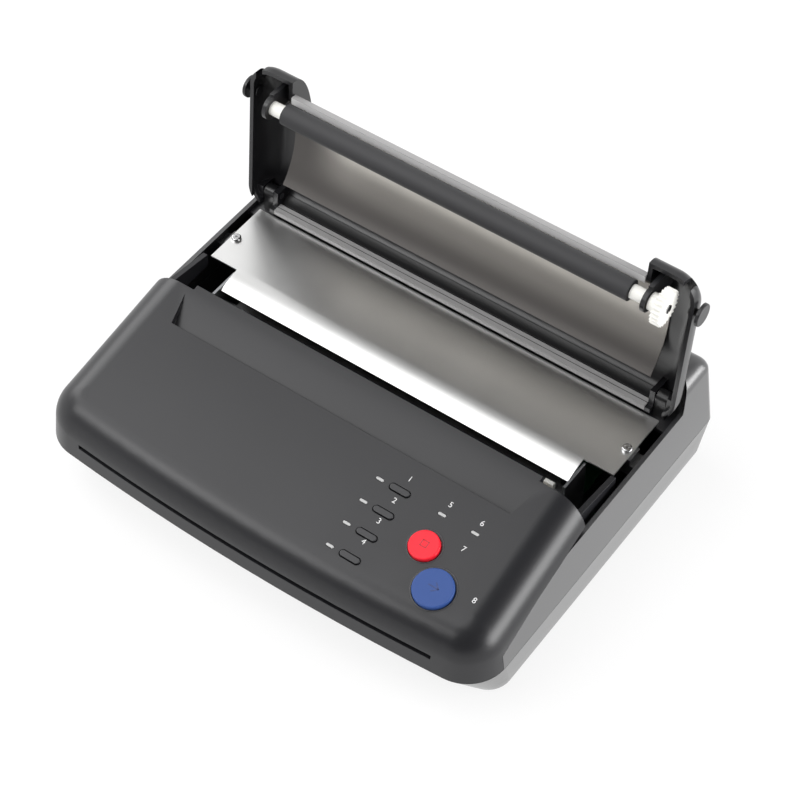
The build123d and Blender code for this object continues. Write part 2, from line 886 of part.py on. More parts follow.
cross_width = 0.7
cross_depth = 1.0
with BuildPart() as plate_screws:
    with BuildSketch(Plane.XY.offset(plate_top_z)):
        with Locations(*plate_screw_spots):
            Circle(screw_head_radius)
    extrude(amount=screw_head_height)
    fillet(plate_screws.faces().group_by(Axis.Z)[-1].edges(), screw_head_height / 2)
    with BuildSketch(Plane.XY.offset(plate_screw_end_z)):
        with Locations(*plate_screw_spots):
            Circle(screw_radius)
    extrude(amount=plate_top_z - plate_screw_end_z)
    with BuildSketch(Plane.XY.offset(plate_top_z + screw_head_height)):
        with Locations(*plate_screw_spots):
            Rectangle(1.3 * screw_head_radius, cross_width)
            Rectangle(cross_width, 1.3 * screw_head_radius)
    extrude(amount=-cross_depth, mode=Mode.SUBTRACT)
save(plate_screws.part, "plate_screws")

head_rear_y = head_front_y + head_depth
head_sink_z = head_top_z - ceramic_thickness
fin_pitch = 4.5
fin_gap = 2.5
fin_depth = 6.0
lug_height = 5.0
fin_count = int(head_depth / fin_pitch) - 1
with BuildPart() as thermal_head:
    with BuildSketch(Plane.XY.offset(head_sink_z)):
        with Locations((0, head_front_y + ceramic_depth / 2)):
            Rectangle(2 * head_half, ceramic_depth)
    extrude(amount=ceramic_thickness)
save(thermal_head.part, "thermal_head")
with BuildPart() as head_heat_sink:
    with BuildSketch(Plane.YZ):
        with Locations(((head_front_y + head_rear_y) / 2, (head_base_z + head_sink_z) / 2)):
            Rectangle(head_depth, head_sink_z - head_base_z)
        with Locations(((head_front_y + head_rear_y) / 2, head_base_z + fin_depth / 2)):
            with GridLocations(fin_pitch, 0, fin_count, 1):
                Rectangle(fin_gap, fin_depth, mode=Mode.SUBTRACT)
    extrude(amount=head_half, both=True)
    with BuildSketch(Plane.YZ):
        with Locations(((head_front_y + head_rear_y) / 2, head_sink_z - lug_height / 2)):
            Rectangle(head_depth / 2, lug_height)
    extrude(amount=frame_x, both=True)
save(head_heat_sink.part, "head_heat_sink")

sheet_sensor_x = 104.5
sheet_sensor_width = 6.0
sheet_sensor_depth = 2.6
sheet_sensor_height = 4.5
sensor_front_y = head_front_y + ceramic_depth + fit_gap
with BuildPart() as sheet_sensor:
    with BuildSketch(Plane.XY.offset(head_sink_z)):
        with Locations((sheet_sensor_x, sensor_front_y + sheet_sensor_depth / 2)):
            Rectangle(sheet_sensor_width, sheet_sensor_depth)
    extrude(amount=sheet_sensor_height)
    chamfer(sheet_sensor.faces().sort_by(Axis.Z)[-1].edges(), 0.4)
save(sheet_sensor.part, "sheet_sensor")

# ---------------------------------------------------------------- gear train
gear_x0 = frame_x + frame_thickness + gear_gap
gear_x1 = gear_x0 + gear_width
platen_gear_end = platen_gear_x + gear_width


def pitch_radius(teeth):
    """Pitch radius of a gear."""
    return gear_module * teeth / 2


def beside(spot, distance, angle):
    """A (y, z) spot at a distance and an angle from another, seen from the right."""
    return (spot[0] + distance * cos(radians(angle)), spot[1] + distance * sin(radians(angle)))


def heading(a, b):
    """Angle from spot a to spot b."""
    return degrees(atan2(b[1] - a[1], b[0] - a[0]))


feed_spot = (feed_y, feed_z)
platen_spot = (platen_y, platen_z)
feed_mesh = pitch_radius(feed_teeth) + pitch_radius(front_idler_teeth)
front_idler_spot = beside(feed_spot, feed_mesh, front_idler_angle)
idler_mesh = pitch_radius(front_idler_teeth) + pitch_radius(rear_idler_teeth)
platen_mesh = (
    pitch_radius(platen_teeth) + pitch_radius(rear_idler_teeth) + 2 * gear_module + mesh_clearance
)
span = hypot(platen_spot[0] - front_idler_spot[0], platen_spot[1] - front_idler_spot[1])
idler_turn = degrees(acos((idler_mesh**2 + span**2 - platen_mesh**2) / (2 * idler_mesh * span)))
rear_idler_spot = beside(
    front_idler_spot, idler_mesh, heading(front_idler_spot, platen_spot) - idler_turn
)
pinion_mesh = pitch_radius(pinion_teeth) + pitch_radius(front_idler_teeth)
pinion_spot = beside(front_idler_spot, pinion_mesh, pinion_angle)


def meshing_phase(teeth, phase, other_teeth, angle):
    """First-tooth angle of a gear that meshes with another, at the given angle from it."""
    turned = (angle - phase) * teeth / 360
    return angle + 180 + (turned - 0.5) * 360 / other_teeth


def gear(teeth, spot, phase, x0, x1):
    """A spur gear without its bore."""
    pitch = pitch_radius(teeth)
    root = pitch - 1.2 * gear_module
    half_pitch = gear_module * 3.1416 / 4 - 0.08
    flank = tan(radians(20)) * gear_module
    plane = Plane(origin=(x0, spot[0], spot[1]), x_dir=(0, 1, 0), z_dir=(1, 0, 0))
    with BuildPart() as blank:
        with BuildSketch(plane):
            Circle(root)
            with PolarLocations(0, teeth, start_angle=phase):
                Polygon(
                    (root - 0.3, -half_pitch - flank),
                    (pitch, -half_pitch),
                    (pitch + gear_module, -half_pitch + flank),
                    (pitch + gear_module, half_pitch - flank),
                    (pitch, half_pitch),
                    (root - 0.3, half_pitch + flank),
                    align=None,
                )
        extrude(amount=x1 - x0)
    return blank.part


front_idler_phase = 0.0
feed_phase = meshing_phase(
    front_idler_teeth, front_idler_phase, feed_teeth, heading(front_idler_spot, feed_spot)
)
rear_idler_phase = meshing_phase(
    front_idler_teeth, front_idler_phase, rear_idler_teeth, heading(front_idler_spot, rear_idler_spot)
)
pinion_phase = meshing_phase(
    front_idler_teeth, front_idler_phase, pinion_teeth, heading(front_idler_spot, pinion_spot)
)

idler_bore = idler_pin_radius + shaft_play
front_idler_blank = gear(front_idler_teeth, front_idler_spot, front_idler_phase, gear_x0, gear_x1)
front_idler_bore = rod(gear_x0, gear_x1, *front_idler_spot, idler_bore)
with BuildPart() as idler_gear_front:
    add(front_idler_blank)
    add(front_idler_bore, mode=Mode.SUBTRACT)
save(idler_gear_front.part, "idler_gear_front")

rear_idler_blank = gear(
    rear_idler_teeth, rear_idler_spot, rear_idler_phase, gear_x0, platen_gear_end
)
rear_idler_bore = rod(gear_x0, platen_gear_end, *rear_idler_spot, idler_bore)
with BuildPart() as idler_gear_rear:
    add(rear_idler_blank)
    add(rear_idler_bore, mode=Mode.SUBTRACT)
save(idler_gear_rear.part, "idler_gear_rear")

feed_gear_blank = gear(feed_teeth, feed_spot, feed_phase, gear_x0, gear_x1)
feed_gear_bore = rod(gear_x0, gear_x1, *feed_spot, shaft_radius)
with BuildPart() as feed_gear:
    add(feed_gear_blank)
    add(feed_gear_bore, mode=Mode.SUBTRACT)
save(feed_gear.part, "feed_gear")

motor_boss_radius = 5.0
motor_boss = 1.5
motor_x0 = frame_x - motor_length
pinion_blank = gear(pinion_teeth, pinion_spot, pinion_phase, gear_x0, gear_x1)
pinion_shaft = rod(frame_x - motor_length / 2, gear_x1 + 0.5, *pinion_spot, motor_shaft_radius)
with BuildPart() as motor_pinion:
    add(pinion_blank)
    add(pinion_shaft)
save(motor_pinion.part, "motor_pinion")

motor_can = rod(motor_x0, frame_x, *pinion_spot, motor_radius)
motor_nose = rod(frame_x, frame_x + motor_boss, *pinion_spot, motor_boss_radius)
motor_bore = rod(
    frame_x - motor_length / 2, frame_x + motor_boss, *pinion_spot, motor_shaft_radius + shaft_play
)
with BuildPart() as drive_motor:
    add(motor_can)
    fillet(drive_motor.faces().sort_by(Axis.X)[0].edges(), 1.0)
    add(motor_nose)
    add(motor_bore, mode=Mode.SUBTRACT)
save(drive_motor.part, "drive_motor")

clip_thickness = 0.8
clip_margin = 0.4
clip_extra = 1.3
pin_head = 1.0
clip_slack = 0.1


def idler_pin(spot, gear_end):
    """A pin riveted into the side frame, out past its gear and clip."""
    head = rod(frame_x - pin_head, frame_x, *spot, idler_pin_radius + pin_head)
    stem = rod(frame_x, gear_end + clip_slack + clip_thickness + clip_margin, *spot, idler_pin_radius)
    with BuildPart() as pin:
        add(head)
        add(stem)
    return pin.part


def clip(x0, spot, shaft):
    """A retaining ring on a pin or a shaft."""
    ring = rod(x0, x0 + clip_thickness, *spot, shaft + clip_extra)
    bore = rod(x0, x0 + clip_thickness, *spot, shaft)
    with BuildPart() as retainer:
        add(ring)
        add(bore, mode=Mode.SUBTRACT)
    return retainer.part


save(
    Compound(
        children=[idler_pin(front_idler_spot, gear_x1), idler_pin(rear_idler_spot, platen_gear_end)]
    ),
    "idler_pins",
)
save(
    Compound(
        children=[
            clip(gear_x1 + clip_slack, front_idler_spot, idler_pin_radius),
            clip(platen_gear_end + clip_slack, rear_idler_spot, idler_pin_radius),
        ]
    ),
    "gear_clips",
)

# ---------------------------------------------------------------- document feed
feed_bush_radius = 4.0
feed_bush_flange = 5.0
feed_bush_rim = 1.0
feed_shaft_end = gear_x1 + clip_margin
tyre_length = 24.0
tyre_pitch = 54.0
tyre_count = 4
with BuildPart() as feed_bush:
    with BuildSketch(Plane.YZ.offset(frame_x - feed_bush_rim)):
        with Locations(feed_spot):
            Circle(feed_bush_flange)
            Circle(shaft_radius + shaft_play, mode=Mode.SUBTRACT)
    extrude(amount=feed_bush_rim)
    with BuildSketch(Plane.YZ.offset(frame_x)):
        with Locations(feed_spot):
            Circle(feed_bush_radius)
            Circle(shaft_radius + shaft_play, mode=Mode.SUBTRACT)
    extrude(amount=frame_thickness + feed_bush_rim)
save(pair(feed_bush.part), "feed_bushes")
feed_shaft = rod(-frame_x - frame_thickness - gear_gap, feed_shaft_end, *feed_spot, shaft_radius)
save(feed_shaft, "feed_shaft")
tyre_middles = [(n - (tyre_count - 1) / 2) * tyre_pitch for n in range(tyre_count)]
tyre_bars = [
    rod(x - tyre_length / 2, x + tyre_length / 2, *feed_spot, feed_radius) for x in tyre_middles
]
with BuildPart() as feed_tyres:
    for bar in tyre_bars:
        add(bar)
    add(feed_shaft, mode=Mode.SUBTRACT)
save(feed_tyres.part, "feed_tyres")

sensor_top_z = glass_top_z - glass_thickness
with BuildPart() as sensor_bar:
    with BuildSketch(Plane.YZ):
        with Locations((feed_y, sensor_top_z - sensor_height / 2)):
            Rectangle(sensor_depth, sensor_height)
    extrude(amount=frame_x, both=True)
save(sensor_bar.part, "sensor_bar")
with BuildPart() as sensor_glass:
    with BuildSketch(Plane.YZ):
        with Locations((feed_y, sensor_top_z + glass_thickness / 2)):
            Rectangle(glass_depth, glass_thickness)
    extrude(amount=head_half, both=True)
save(sensor_glass.part, "sensor_glass")

# ---------------------------------------------------------------- side frames
notch_radius = bush_radius + 0.3
mouth_flare = 2.5             # the notch opens towards the shutting roller
frame_outline = side_prism(
    (
        (frame_front_y, floor_z),
        (frame_front_y, frame_top_z),
        (frame_rear_y, frame_top_z),
        (frame_rear_y, floor_z),
    ),
    frame_x + frame_thickness,
)
frame_core = side_prism(
    (
        (frame_front_y - wall, floor_z - wall),
        (frame_front_y - wall, frame_top_z + wall),
        (frame_rear_y + wall, frame_top_z + wall),
        (frame_rear_y + wall, floor_z - wall),
    ),
    frame_x,
)
frame_notch = rod(-far_half, far_half, *platen_spot, notch_radius)
frame_mouth = side_prism(
    (
        (platen_y - notch_radius, platen_z),
        (platen_y - notch_radius - mouth_flare, frame_top_z),
        (platen_y + notch_radius, frame_top_z),
        (platen_y + notch_radius, platen_z),
    ),
    far_half,
)
frame_bush_hole = rod(-far_half, far_half, *feed_spot, feed_bush_radius)
pin_holes = [
    rod(frame_x, far_half, *spot, idler_pin_radius) for spot in (front_idler_spot, rear_idler_spot)
]
motor_hole = rod(frame_x, far_half, *pinion_spot, motor_boss_radius)
right_side = box(0, far_half, -far_y, far_y, 0, far_z)
with BuildPart() as side_frames:
    add(frame_outline)
    add(frame_core, mode=Mode.SUBTRACT)
    add(frame_notch, mode=Mode.SUBTRACT)
    add(frame_mouth, mode=Mode.SUBTRACT)
    add(frame_bush_hole, mode=Mode.SUBTRACT)
with BuildPart() as side_frame_right:
    add(side_frames.part)
    add(right_side, mode=Mode.INTERSECT)
    for hole in pin_holes:
        add(hole, mode=Mode.SUBTRACT)
    add(motor_hole, mode=Mode.SUBTRACT)
save(side_frame_right.part, "side_frame_right")
with BuildPart() as side_frame_left:
    add(side_frames.part)
    add(right_side, mode=Mode.SUBTRACT)
save(side_frame_left.part, "side_frame_left")

# ---------------------------------------------------------------- lid, drawn shut
mouth_radius = ((ramp_end_y - lip_y) ** 2 + (lid_top_z - lip_top_z) ** 2) / (2 * (lid_top_z - lip_top_z))
mouth_centre_z = lid_top_z - mouth_radius


def lid_level(z, drawn, inset):
    """The lid's plan at height z, with a share of its crown drawn in."""
    side = inset + drawn * (lid_side_crown - inset)
    front = lid_front_y + inset + drawn * (lid_front_crown - inset)
    rear = lid_rear_y - side
    corner = lid_corner_radius - drawn * (lid_corner_radius - lid_corner_top_radius) - inset
    with BuildSketch(Plane.XY.offset(z)) as level:
        with Locations((0, (front + rear) / 2)):
            RectangleRounded(2 * (lid_half - side), rear - front, corner)
    return level.sketch


def lid_block(inset):
    """The lid's form, drawn in by inset: short walls under a crown that slopes to the front."""
    crown_height = lid_top_z - inset - lid_wall_z
    walls = [lid_level(lid_rim_z, 0, inset), lid_level(lid_wall_z, 0, inset)]
    crown = [
        lid_level(lid_wall_z + crown_height * sin(angle), 1 - cos(angle), inset) for angle in crown_angles
    ]
    return walled_crown(walls, crown)


def mouth_cut(inset):
    """What the paper mouth takes away between the lid's end caps, drawn back by inset."""
    start = lip_y + inset
    radius = mouth_radius - inset
    start_z = mouth_centre_z + sqrt(radius**2 - (ramp_end_y - start) ** 2)
    with BuildPart() as cut:
        with BuildSketch(Plane.YZ):
            with BuildLine():
                Line((start, 0), (start, start_z))
                RadiusArc((start, start_z), (ramp_end_y, mouth_centre_z + radius), radius)
                Polyline(
                    (ramp_end_y, mouth_centre_z + radius),
                    (ramp_end_y, far_z),
                    (-far_y, far_z),
                    (-far_y, 0),
                    (start, 0),
                )
            make_face()
        extrude(amount=mouth_half + inset, both=True)
    return cut.part


lid_outer = lid_block(0)
lid_inner = lid_block(wall)
lid_middle = lid_block(wall / 2)
mouth_outer = mouth_cut(0)
mouth_inner = mouth_cut(wall)
ear_inner_x = hinge_x - bracket_width / 2 - lid_ear_gap
ear_outer_x = hinge_x + bracket_width / 2 + lid_ear_gap
ear_front_y = hinge_y - bracket_radius
ear_z = hinge_z - bracket_radius
inner_ear = box(ear_inner_x - ear_thickness, ear_inner_x, ear_front_y, lid_rear_y, ear_z, far_z)
outer_ear = box(ear_outer_x, lid_half, ear_front_y, lid_rear_y, ear_z, far_z)
slot_top_z = hinge_z + 1.5 * bracket_radius
bracket_slot = box(ear_inner_x, ear_outer_x, hinge_y - bracket_radius, far_y, 0, slot_top_z)
hinge_bore = rod(ear_inner_x - ear_thickness, ear_outer_x + ear_thickness, hinge_y, hinge_z, hinge_pin_radius)
latch_bore = rod(
    tongue_outer, far_half, latch_y, latch_z, latch_stem_radius + shaft_play
)
tongue_notch = box(
    bay_outer - 2 * lid_ear_gap,
    tongue_outer + 2 * lid_ear_gap,
    -far_y,
    lid_front_y + lid_corner_radius,
    0,
    tongue_top_front_z + 2 * lid_ear_gap,
)
rear_rim_cut = box(
    wall - lid_half, lid_half - wall, lid_rear_y - lid_corner_radius, far_y, 0, lid_rear_rim_z
)
with BuildPart() as lid_inside:
    add(inner_ear)
    add(outer_ear)
    add(mirrored(inner_ear))
    add(mirrored(outer_ear))
    add(lid_middle, mode=Mode.INTERSECT)
with BuildPart() as lid_hollow:
    add(lid_inner)
    add(mouth_inner, mode=Mode.SUBTRACT)
with BuildPart() as lid_shell:
    add(lid_outer)
    add(mouth_outer, mode=Mode.SUBTRACT)
    add(lid_hollow.part, mode=Mode.SUBTRACT)
    add(lid_inside.part)
    add(rear_rim_cut, mode=Mode.SUBTRACT)
    for cut in (bracket_slot, hinge_bore, latch_bore, tongue_notch):
        add(cut, mode=Mode.SUBTRACT)
        add(mirrored(cut), mode=Mode.SUBTRACT)
save(opened(lid_shell.part), "lid_shell")

liner_centre_y = (liner_front_y + liner_rear_y) / 2
liner_centre_z = lid_top_z - wall - seam_gap - liner_radius
liner_sweep = 2 * degrees(asin((liner_rear_y - liner_front_y) / (2 * liner_radius)))
with BuildPart() as lid_liner:
    with BuildSketch(Plane.YZ):
        with BuildLine():
            over = CenterArc(
                (liner_centre_y, liner_centre_z), liner_radius, 90 - liner_sweep / 2, liner_sweep
            )
            under = CenterArc(
                (liner_centre_y, liner_centre_z),
                liner_radius - liner_thickness,
                90 - liner_sweep / 2,
                liner_sweep,
            )
            Line(over @ 0, under @ 0)
            Line(over @ 1, under @ 1)
        make_face()
    extrude(amount=liner_half, both=True)
save(opened(lid_liner.part), "lid_liner")

edge_strip_thickness = 1.0
edge_strip_reach = 4.2
edge_strip = box(
    fit_gap - mouth_half,
    mouth_half - fit_gap,
    lip_y,
    lip_y + edge_strip_reach,
    lid_rim_z - edge_strip_thickness,
    lid_rim_z,
)
save(opened(edge_strip), "lid_edge_strip")

strip_thickness = 0.8
strip_top_z = 72.0
strip_gap_z = 65.8
strip_gap = 0.6
strip_face = lid_block(wall + fit_gap / 2)
strip_back = lid_block(wall + fit_gap / 2 + strip_thickness)
strip_half = ear_inner_x - ear_thickness - fit_gap
lower_strip_area = box(
    -strip_half, strip_half, hinge_y, lid_rear_y, lid_rear_rim_z, strip_gap_z - strip_gap / 2
)
upper_strip_area = box(
    -strip_half, strip_half, hinge_y, lid_rear_y, strip_gap_z + strip_gap / 2, strip_top_z
)
with BuildPart() as hinge_strips:
    add(strip_face)
    add(strip_back, mode=Mode.SUBTRACT)
    add([lower_strip_area, upper_strip_area], mode=Mode.INTERSECT)
save(opened(hinge_strips.part), "hinge_strips")

hinge_pin = rod(
    ear_inner_x - ear_thickness, ear_outer_x + ear_thickness, hinge_y, hinge_z, hinge_pin_radius
)
save(opened(pair(hinge_pin)), "hinge_pins")

# ---------------------------------------------------------------- platen roller
roller_bracket_plate = box(
    roller_bracket_x,
    roller_bracket_x + roller_bracket_thickness,
    roller_bracket_front_y,
    roller_bracket_rear_y,
    platen_z,
    far_z,
)
roller_bracket_ring_bar = rod(
    roller_bracket_x,
    roller_bracket_x + roller_bracket_thickness,
    *platen_spot,
    roller_bracket_ring,
)
roller_bracket_bore = rod(0, far_half, *platen_spot, bush_radius)
bracket_space = lid_block(wall + fit_gap / 2)
bracket_space_foot = box(-lid_half, lid_half, lid_front_y, lid_rear_y, 0, lid_rim_z)
with BuildPart() as bracket_room:
    add(bracket_space)
    add(bracket_space_foot)
with BuildPart() as roller_bracket:
    add(roller_bracket_plate)
    add(bracket_room.part, mode=Mode.INTERSECT)
    add(roller_bracket_ring_bar)
    add(roller_bracket_bore, mode=Mode.SUBTRACT)
save(opened(roller_bracket.part), "roller_bracket_right")
save(opened(mirrored(roller_bracket.part)), "roller_bracket_left")

bush_bar = rod(platen_half + 2 * fit_gap, bush_end, *platen_spot, bush_radius)
bush_bore = rod(0, far_half, *platen_spot, shaft_radius + shaft_play)
with BuildPart() as platen_bush:
    add(bush_bar)
    add(bush_bore, mode=Mode.SUBTRACT)
save(opened(pair(platen_bush.part)), "platen_bushes")

platen_left_end = -bush_end - clip_slack - clip_thickness - clip_margin
slot_width = 0.8
slot_depth = 1.0
platen_bar = rod(platen_left_end, platen_end, *platen_spot, shaft_radius)
driver_slot = box(
    platen_end - slot_depth,
    platen_end,
    platen_y - 2 * shaft_radius,
    platen_y + 2 * shaft_radius,
    platen_z - slot_width / 2,
    platen_z + slot_width / 2,
)
with BuildPart() as platen_shaft:
    add(platen_bar)
    add(driver_slot, mode=Mode.SUBTRACT)
save(opened(platen_shaft.part), "platen_shaft")
rubber_bar = rod(-platen_half, platen_half, *platen_spot, platen_radius)
with BuildPart() as platen_rubber:
    add(rubber_bar)
    add(platen_bar, mode=Mode.SUBTRACT)
save(opened(platen_rubber.part), "platen_rubber")
platen_gear_blank = gear(platen_teeth, platen_spot, 0, platen_gear_x, platen_gear_end)
platen_hub = rod(bush_end + seam_gap, platen_gear_x, *platen_spot, 2 * shaft_radius)
with BuildPart() as platen_gear:
    add(platen_gear_blank)
    add(platen_hub)
    add(platen_bar, mode=Mode.SUBTRACT)
save(opened(platen_gear.part), "platen_gear")
platen_clip = clip(-bush_end - clip_slack - clip_thickness, platen_spot, shaft_radius)
save(opened(platen_clip), "platen_clip")

# ---------------------------------------------------------------- lid latch buttons
latch_flange_end = lid_half - wall - 2 * seam_gap
latch_knob = rod(latch_outer - latch_thickness, latch_outer, latch_y, latch_z, latch_radius)
latch_stem = rod(latch_flange_end, latch_outer - latch_thickness, latch_y, latch_z, latch_stem_radius)
latch_plate = rod(
    latch_flange_end - latch_flange, latch_flange_end, latch_y, latch_z, latch_flange_radius
)
with BuildPart() as latch_button:
    add(latch_knob)
    fillet(latch_button.faces().sort_by(Axis.X)[-1].edges(), 0.6)
    add(latch_stem)
    add(latch_plate)
save(opened(latch_button.part), "latch_button_right")
save(opened(mirrored(latch_button.part)), "latch_button_left")

# ---------------------------------------------------------------- circuit boards
chip_height = 3.0
block_height = 18.0
cell_radius = 7.0


def board(area):
    """A bare board on its standoffs."""
    x0, x1, y0, y1 = area
    return box(x0, x1, y0, y1, board_z, board_z + board_thickness)


board_top_z = board_z + board_thickness
main_board_plate = board(main_board_box)
with BuildPart() as main_board:
    add(main_board_plate)
    with BuildSketch(Plane.XY.offset(board_top_z)):
        with Locations(*[(x, (main_board_box[2] + main_board_box[3]) / 2) for x in (-60, -20, 20)]):
            Rectangle(18, 18)
    extrude(amount=chip_height)
save(main_board.part, "main_board")
power_board_plate = board(power_board_box)
power_middle_x = (power_board_box[0] + power_board_box[1]) / 2
with BuildPart() as power_board:
    add(power_board_plate)
    with BuildSketch(Plane.XY.offset(board_top_z)):
        with Locations((power_middle_x, power_board_box[2] + block_height)):
            Rectangle(28, 24)
        with Locations(*[(power_middle_x + dx, power_board_box[3] - 18) for dx in (-12, 12)]):
            Circle(cell_radius)
    extrude(amount=block_height)
save(power_board.part, "power_board")

# ---------------------------------------------------------------- mains inlet and switch
pin_width = 4.0
pin_height = 2.0
pin_spread = 7.0
pin_drop = 3.0
inlet_shell = socket_block(inlet_x, inlet_width, inlet_height, -inlet_depth, 0)
inlet_flange = socket_block(
    inlet_x, inlet_width + 2 * flange_border, inlet_height + 2 * flange_border, -panel_flange, 0
)
inlet_cavity = socket_block(
    inlet_x, inlet_width - 2 * socket_wall, inlet_height - 2 * socket_wall, -socket_depth, 0
)
with BuildPart() as inlet_pins:
    with BuildSketch(socket_plane(inlet_x, -socket_depth - socket_wall)):
        with Locations((-pin_spread, -pin_drop), (0, pin_drop), (pin_spread, -pin_drop)):
            Rectangle(pin_height, pin_width)
    extrude(amount=pin_length + socket_wall)
with BuildPart() as power_inlet:
    add(inlet_shell)
    add(inlet_flange)
    add(inlet_cavity, mode=Mode.SUBTRACT)
    add(inlet_pins.part)
save(power_inlet.part, "power_inlet")

rocker_gap = 0.4
rocker_width = switch_width - 2 * socket_wall - 2 * rocker_gap
switch_shell = socket_block(switch_x, switch_width, switch_tall, -switch_depth, 0)
switch_flange = socket_block(
    switch_x, switch_width + 2 * flange_border, switch_tall + 2 * flange_border, -panel_flange, 0
)
switch_cavity = socket_block(
    switch_x,
    switch_width - 2 * socket_wall,
    switch_tall - 2 * socket_wall,
    socket_wall - switch_depth,
    0,
)
rocker_pin_radius = 1.0
rocker_thickness = 3.4
rocker_pivot = socket_plane(switch_x, -rocker_thickness)
pivot_centre = rocker_pivot.origin
switch_pin = rod(
    switch_x - switch_width / 2,
    switch_x + switch_width / 2,
    pivot_centre.Y,
    pivot_centre.Z,
    rocker_pin_radius,
)
with BuildPart() as switch_housing:
    add(switch_shell)
    add(switch_flange)
    add(switch_cavity, mode=Mode.SUBTRACT)
    add(switch_pin)
save(switch_housing.part, "switch_housing")
rocker_bore = rod(-far_half, far_half, pivot_centre.Y, pivot_centre.Z, rocker_pin_radius + shaft_play)
rocker_half = switch_tall / 2 - socket_wall - rocker_gap
rocker_axis = Axis(tuple(pivot_centre), (1, 0, 0))
with BuildPart() as rocker_level:
    with BuildSketch(Plane(origin=pivot_centre, x_dir=(-1, 0, 0), z_dir=rear_wall_normal)):
        Rectangle(rocker_width, 2 * rocker_half - 1.0)
    extrude(amount=rocker_thickness)
    with BuildSketch(Plane(origin=pivot_centre, x_dir=(-1, 0, 0), z_dir=rear_wall_normal)):
        Rectangle(rocker_width, 6.0)
    extrude(amount=-3.0)
    add(rocker_bore, mode=Mode.SUBTRACT)
save(rocker_level.part.rotate(rocker_axis, rocker_tilt), "power_rocker")
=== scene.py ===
"""Thermal stencil copier: finishes, lid trims, printed marks, screws, studio and camera.

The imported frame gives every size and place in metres, with +X to the user's right, +Y away
from the user and +Z up. The lid stands open at rest.
"""

import json
from math import pi, radians

import bpy
from mathutils import Matrix, Vector

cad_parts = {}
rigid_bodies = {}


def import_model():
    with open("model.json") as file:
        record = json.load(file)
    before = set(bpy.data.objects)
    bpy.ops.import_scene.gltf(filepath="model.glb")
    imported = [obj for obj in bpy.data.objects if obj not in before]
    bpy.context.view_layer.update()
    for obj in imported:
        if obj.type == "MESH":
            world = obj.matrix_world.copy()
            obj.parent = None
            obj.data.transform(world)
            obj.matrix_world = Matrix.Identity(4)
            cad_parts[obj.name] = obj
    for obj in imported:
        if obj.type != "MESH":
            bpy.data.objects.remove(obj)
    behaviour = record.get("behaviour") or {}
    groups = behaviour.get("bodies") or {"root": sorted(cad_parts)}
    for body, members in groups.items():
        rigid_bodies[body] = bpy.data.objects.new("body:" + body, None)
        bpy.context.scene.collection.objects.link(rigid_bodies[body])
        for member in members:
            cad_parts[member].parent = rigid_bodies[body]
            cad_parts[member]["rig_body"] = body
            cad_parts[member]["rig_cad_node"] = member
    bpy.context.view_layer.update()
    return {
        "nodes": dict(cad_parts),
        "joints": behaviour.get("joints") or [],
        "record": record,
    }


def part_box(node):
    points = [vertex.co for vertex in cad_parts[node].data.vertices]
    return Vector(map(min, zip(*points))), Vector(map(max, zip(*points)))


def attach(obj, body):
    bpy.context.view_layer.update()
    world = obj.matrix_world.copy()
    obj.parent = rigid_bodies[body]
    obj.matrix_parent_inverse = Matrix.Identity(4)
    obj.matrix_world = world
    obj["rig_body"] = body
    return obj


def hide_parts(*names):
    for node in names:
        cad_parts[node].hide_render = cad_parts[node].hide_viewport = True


bl_info = {
    "name": "Thermal Stencil Copier",
    "version": (1, 0, 0),
    "blender": (4, 5, 0),
    "location": "View3D > Sidebar > Copier",
    "description": "Builds the finishes and the fine pieces of a thermal stencil copier",
    "category": "Object",
}

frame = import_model()
NODES = frame["nodes"]
MM = 0.001


# ---------------------------------------------------------------- places read from the frame
def joint(name):
    """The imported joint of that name."""
    return next(j for j in frame["joints"] if j["name"] == name)


def middle(node):
    """Centre of a node's box."""
    low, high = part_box(node)
    return (low + high) / 2


def top_vertex(node):
    """The highest point of a node's mesh."""
    return max((v.co for v in NODES[node].data.vertices), key=lambda co: co.z).copy()


PANEL_NORMAL = -Vector(joint("copy_press")["axis"]).normalized()
PANEL_POINT = top_vertex("front_cover")
PANEL_RIGHT = Vector((1, 0, 0))
PANEL_UP = PANEL_NORMAL.cross(PANEL_RIGHT)
PANEL_SEARCH_Z = 0.07
HINGE = Vector(joint("lid_hinge")["pos_m"])
LID_TURN = radians(joint("lid_hinge")["range_deg"][1])


def at(x, y, z):
    """A move to a place given in millimetres."""
    return Matrix.Translation(Vector((x, y, z)) * MM)


def on_lid(x, y, z):
    """A frame on the lid at a place given in millimetres with the lid shut."""
    turn = Matrix.Rotation(-LID_TURN, 4, "X")
    return Matrix.Translation(HINGE) @ turn @ Matrix.Translation(-HINGE) @ at(x, y, z)


def panel_matrix(point, lift=0.0):
    """A frame on the panel under or over a point, raised by the lift."""
    drop = (point - PANEL_POINT).dot(PANEL_NORMAL)
    basis = Matrix((PANEL_RIGHT, PANEL_UP, PANEL_NORMAL)).transposed().to_4x4()
    return Matrix.Translation(point - PANEL_NORMAL * (drop - lift)) @ basis


def panel_spot(x, y, lift):
    """A frame at a place of the panel, all in millimetres."""
    return panel_matrix(Vector((x * MM, y * MM, PANEL_SEARCH_Z)), lift * MM)


def top_face(node):
    """A frame in the middle of a cap's flat top."""
    rise = max((v.co - PANEL_POINT).dot(PANEL_NORMAL) for v in NODES[node].data.vertices)
    return panel_matrix(middle(node), rise)


# ---------------------------------------------------------------- colours and node materials
CLOUD_SCALE = 14.0  # clouds of tone about 70 mm across, which break up a large plain surface
STEEL_CLOUD_SCALE = 25.0  # clouds about 40 mm across, as on rolled sheet
DUST_SCALE = 120.0  # patches about 8 mm across
FLOOR_SCALE = 2.0  # half a metre, wider than the object
ROUGHNESS_SPREAD = 0.04


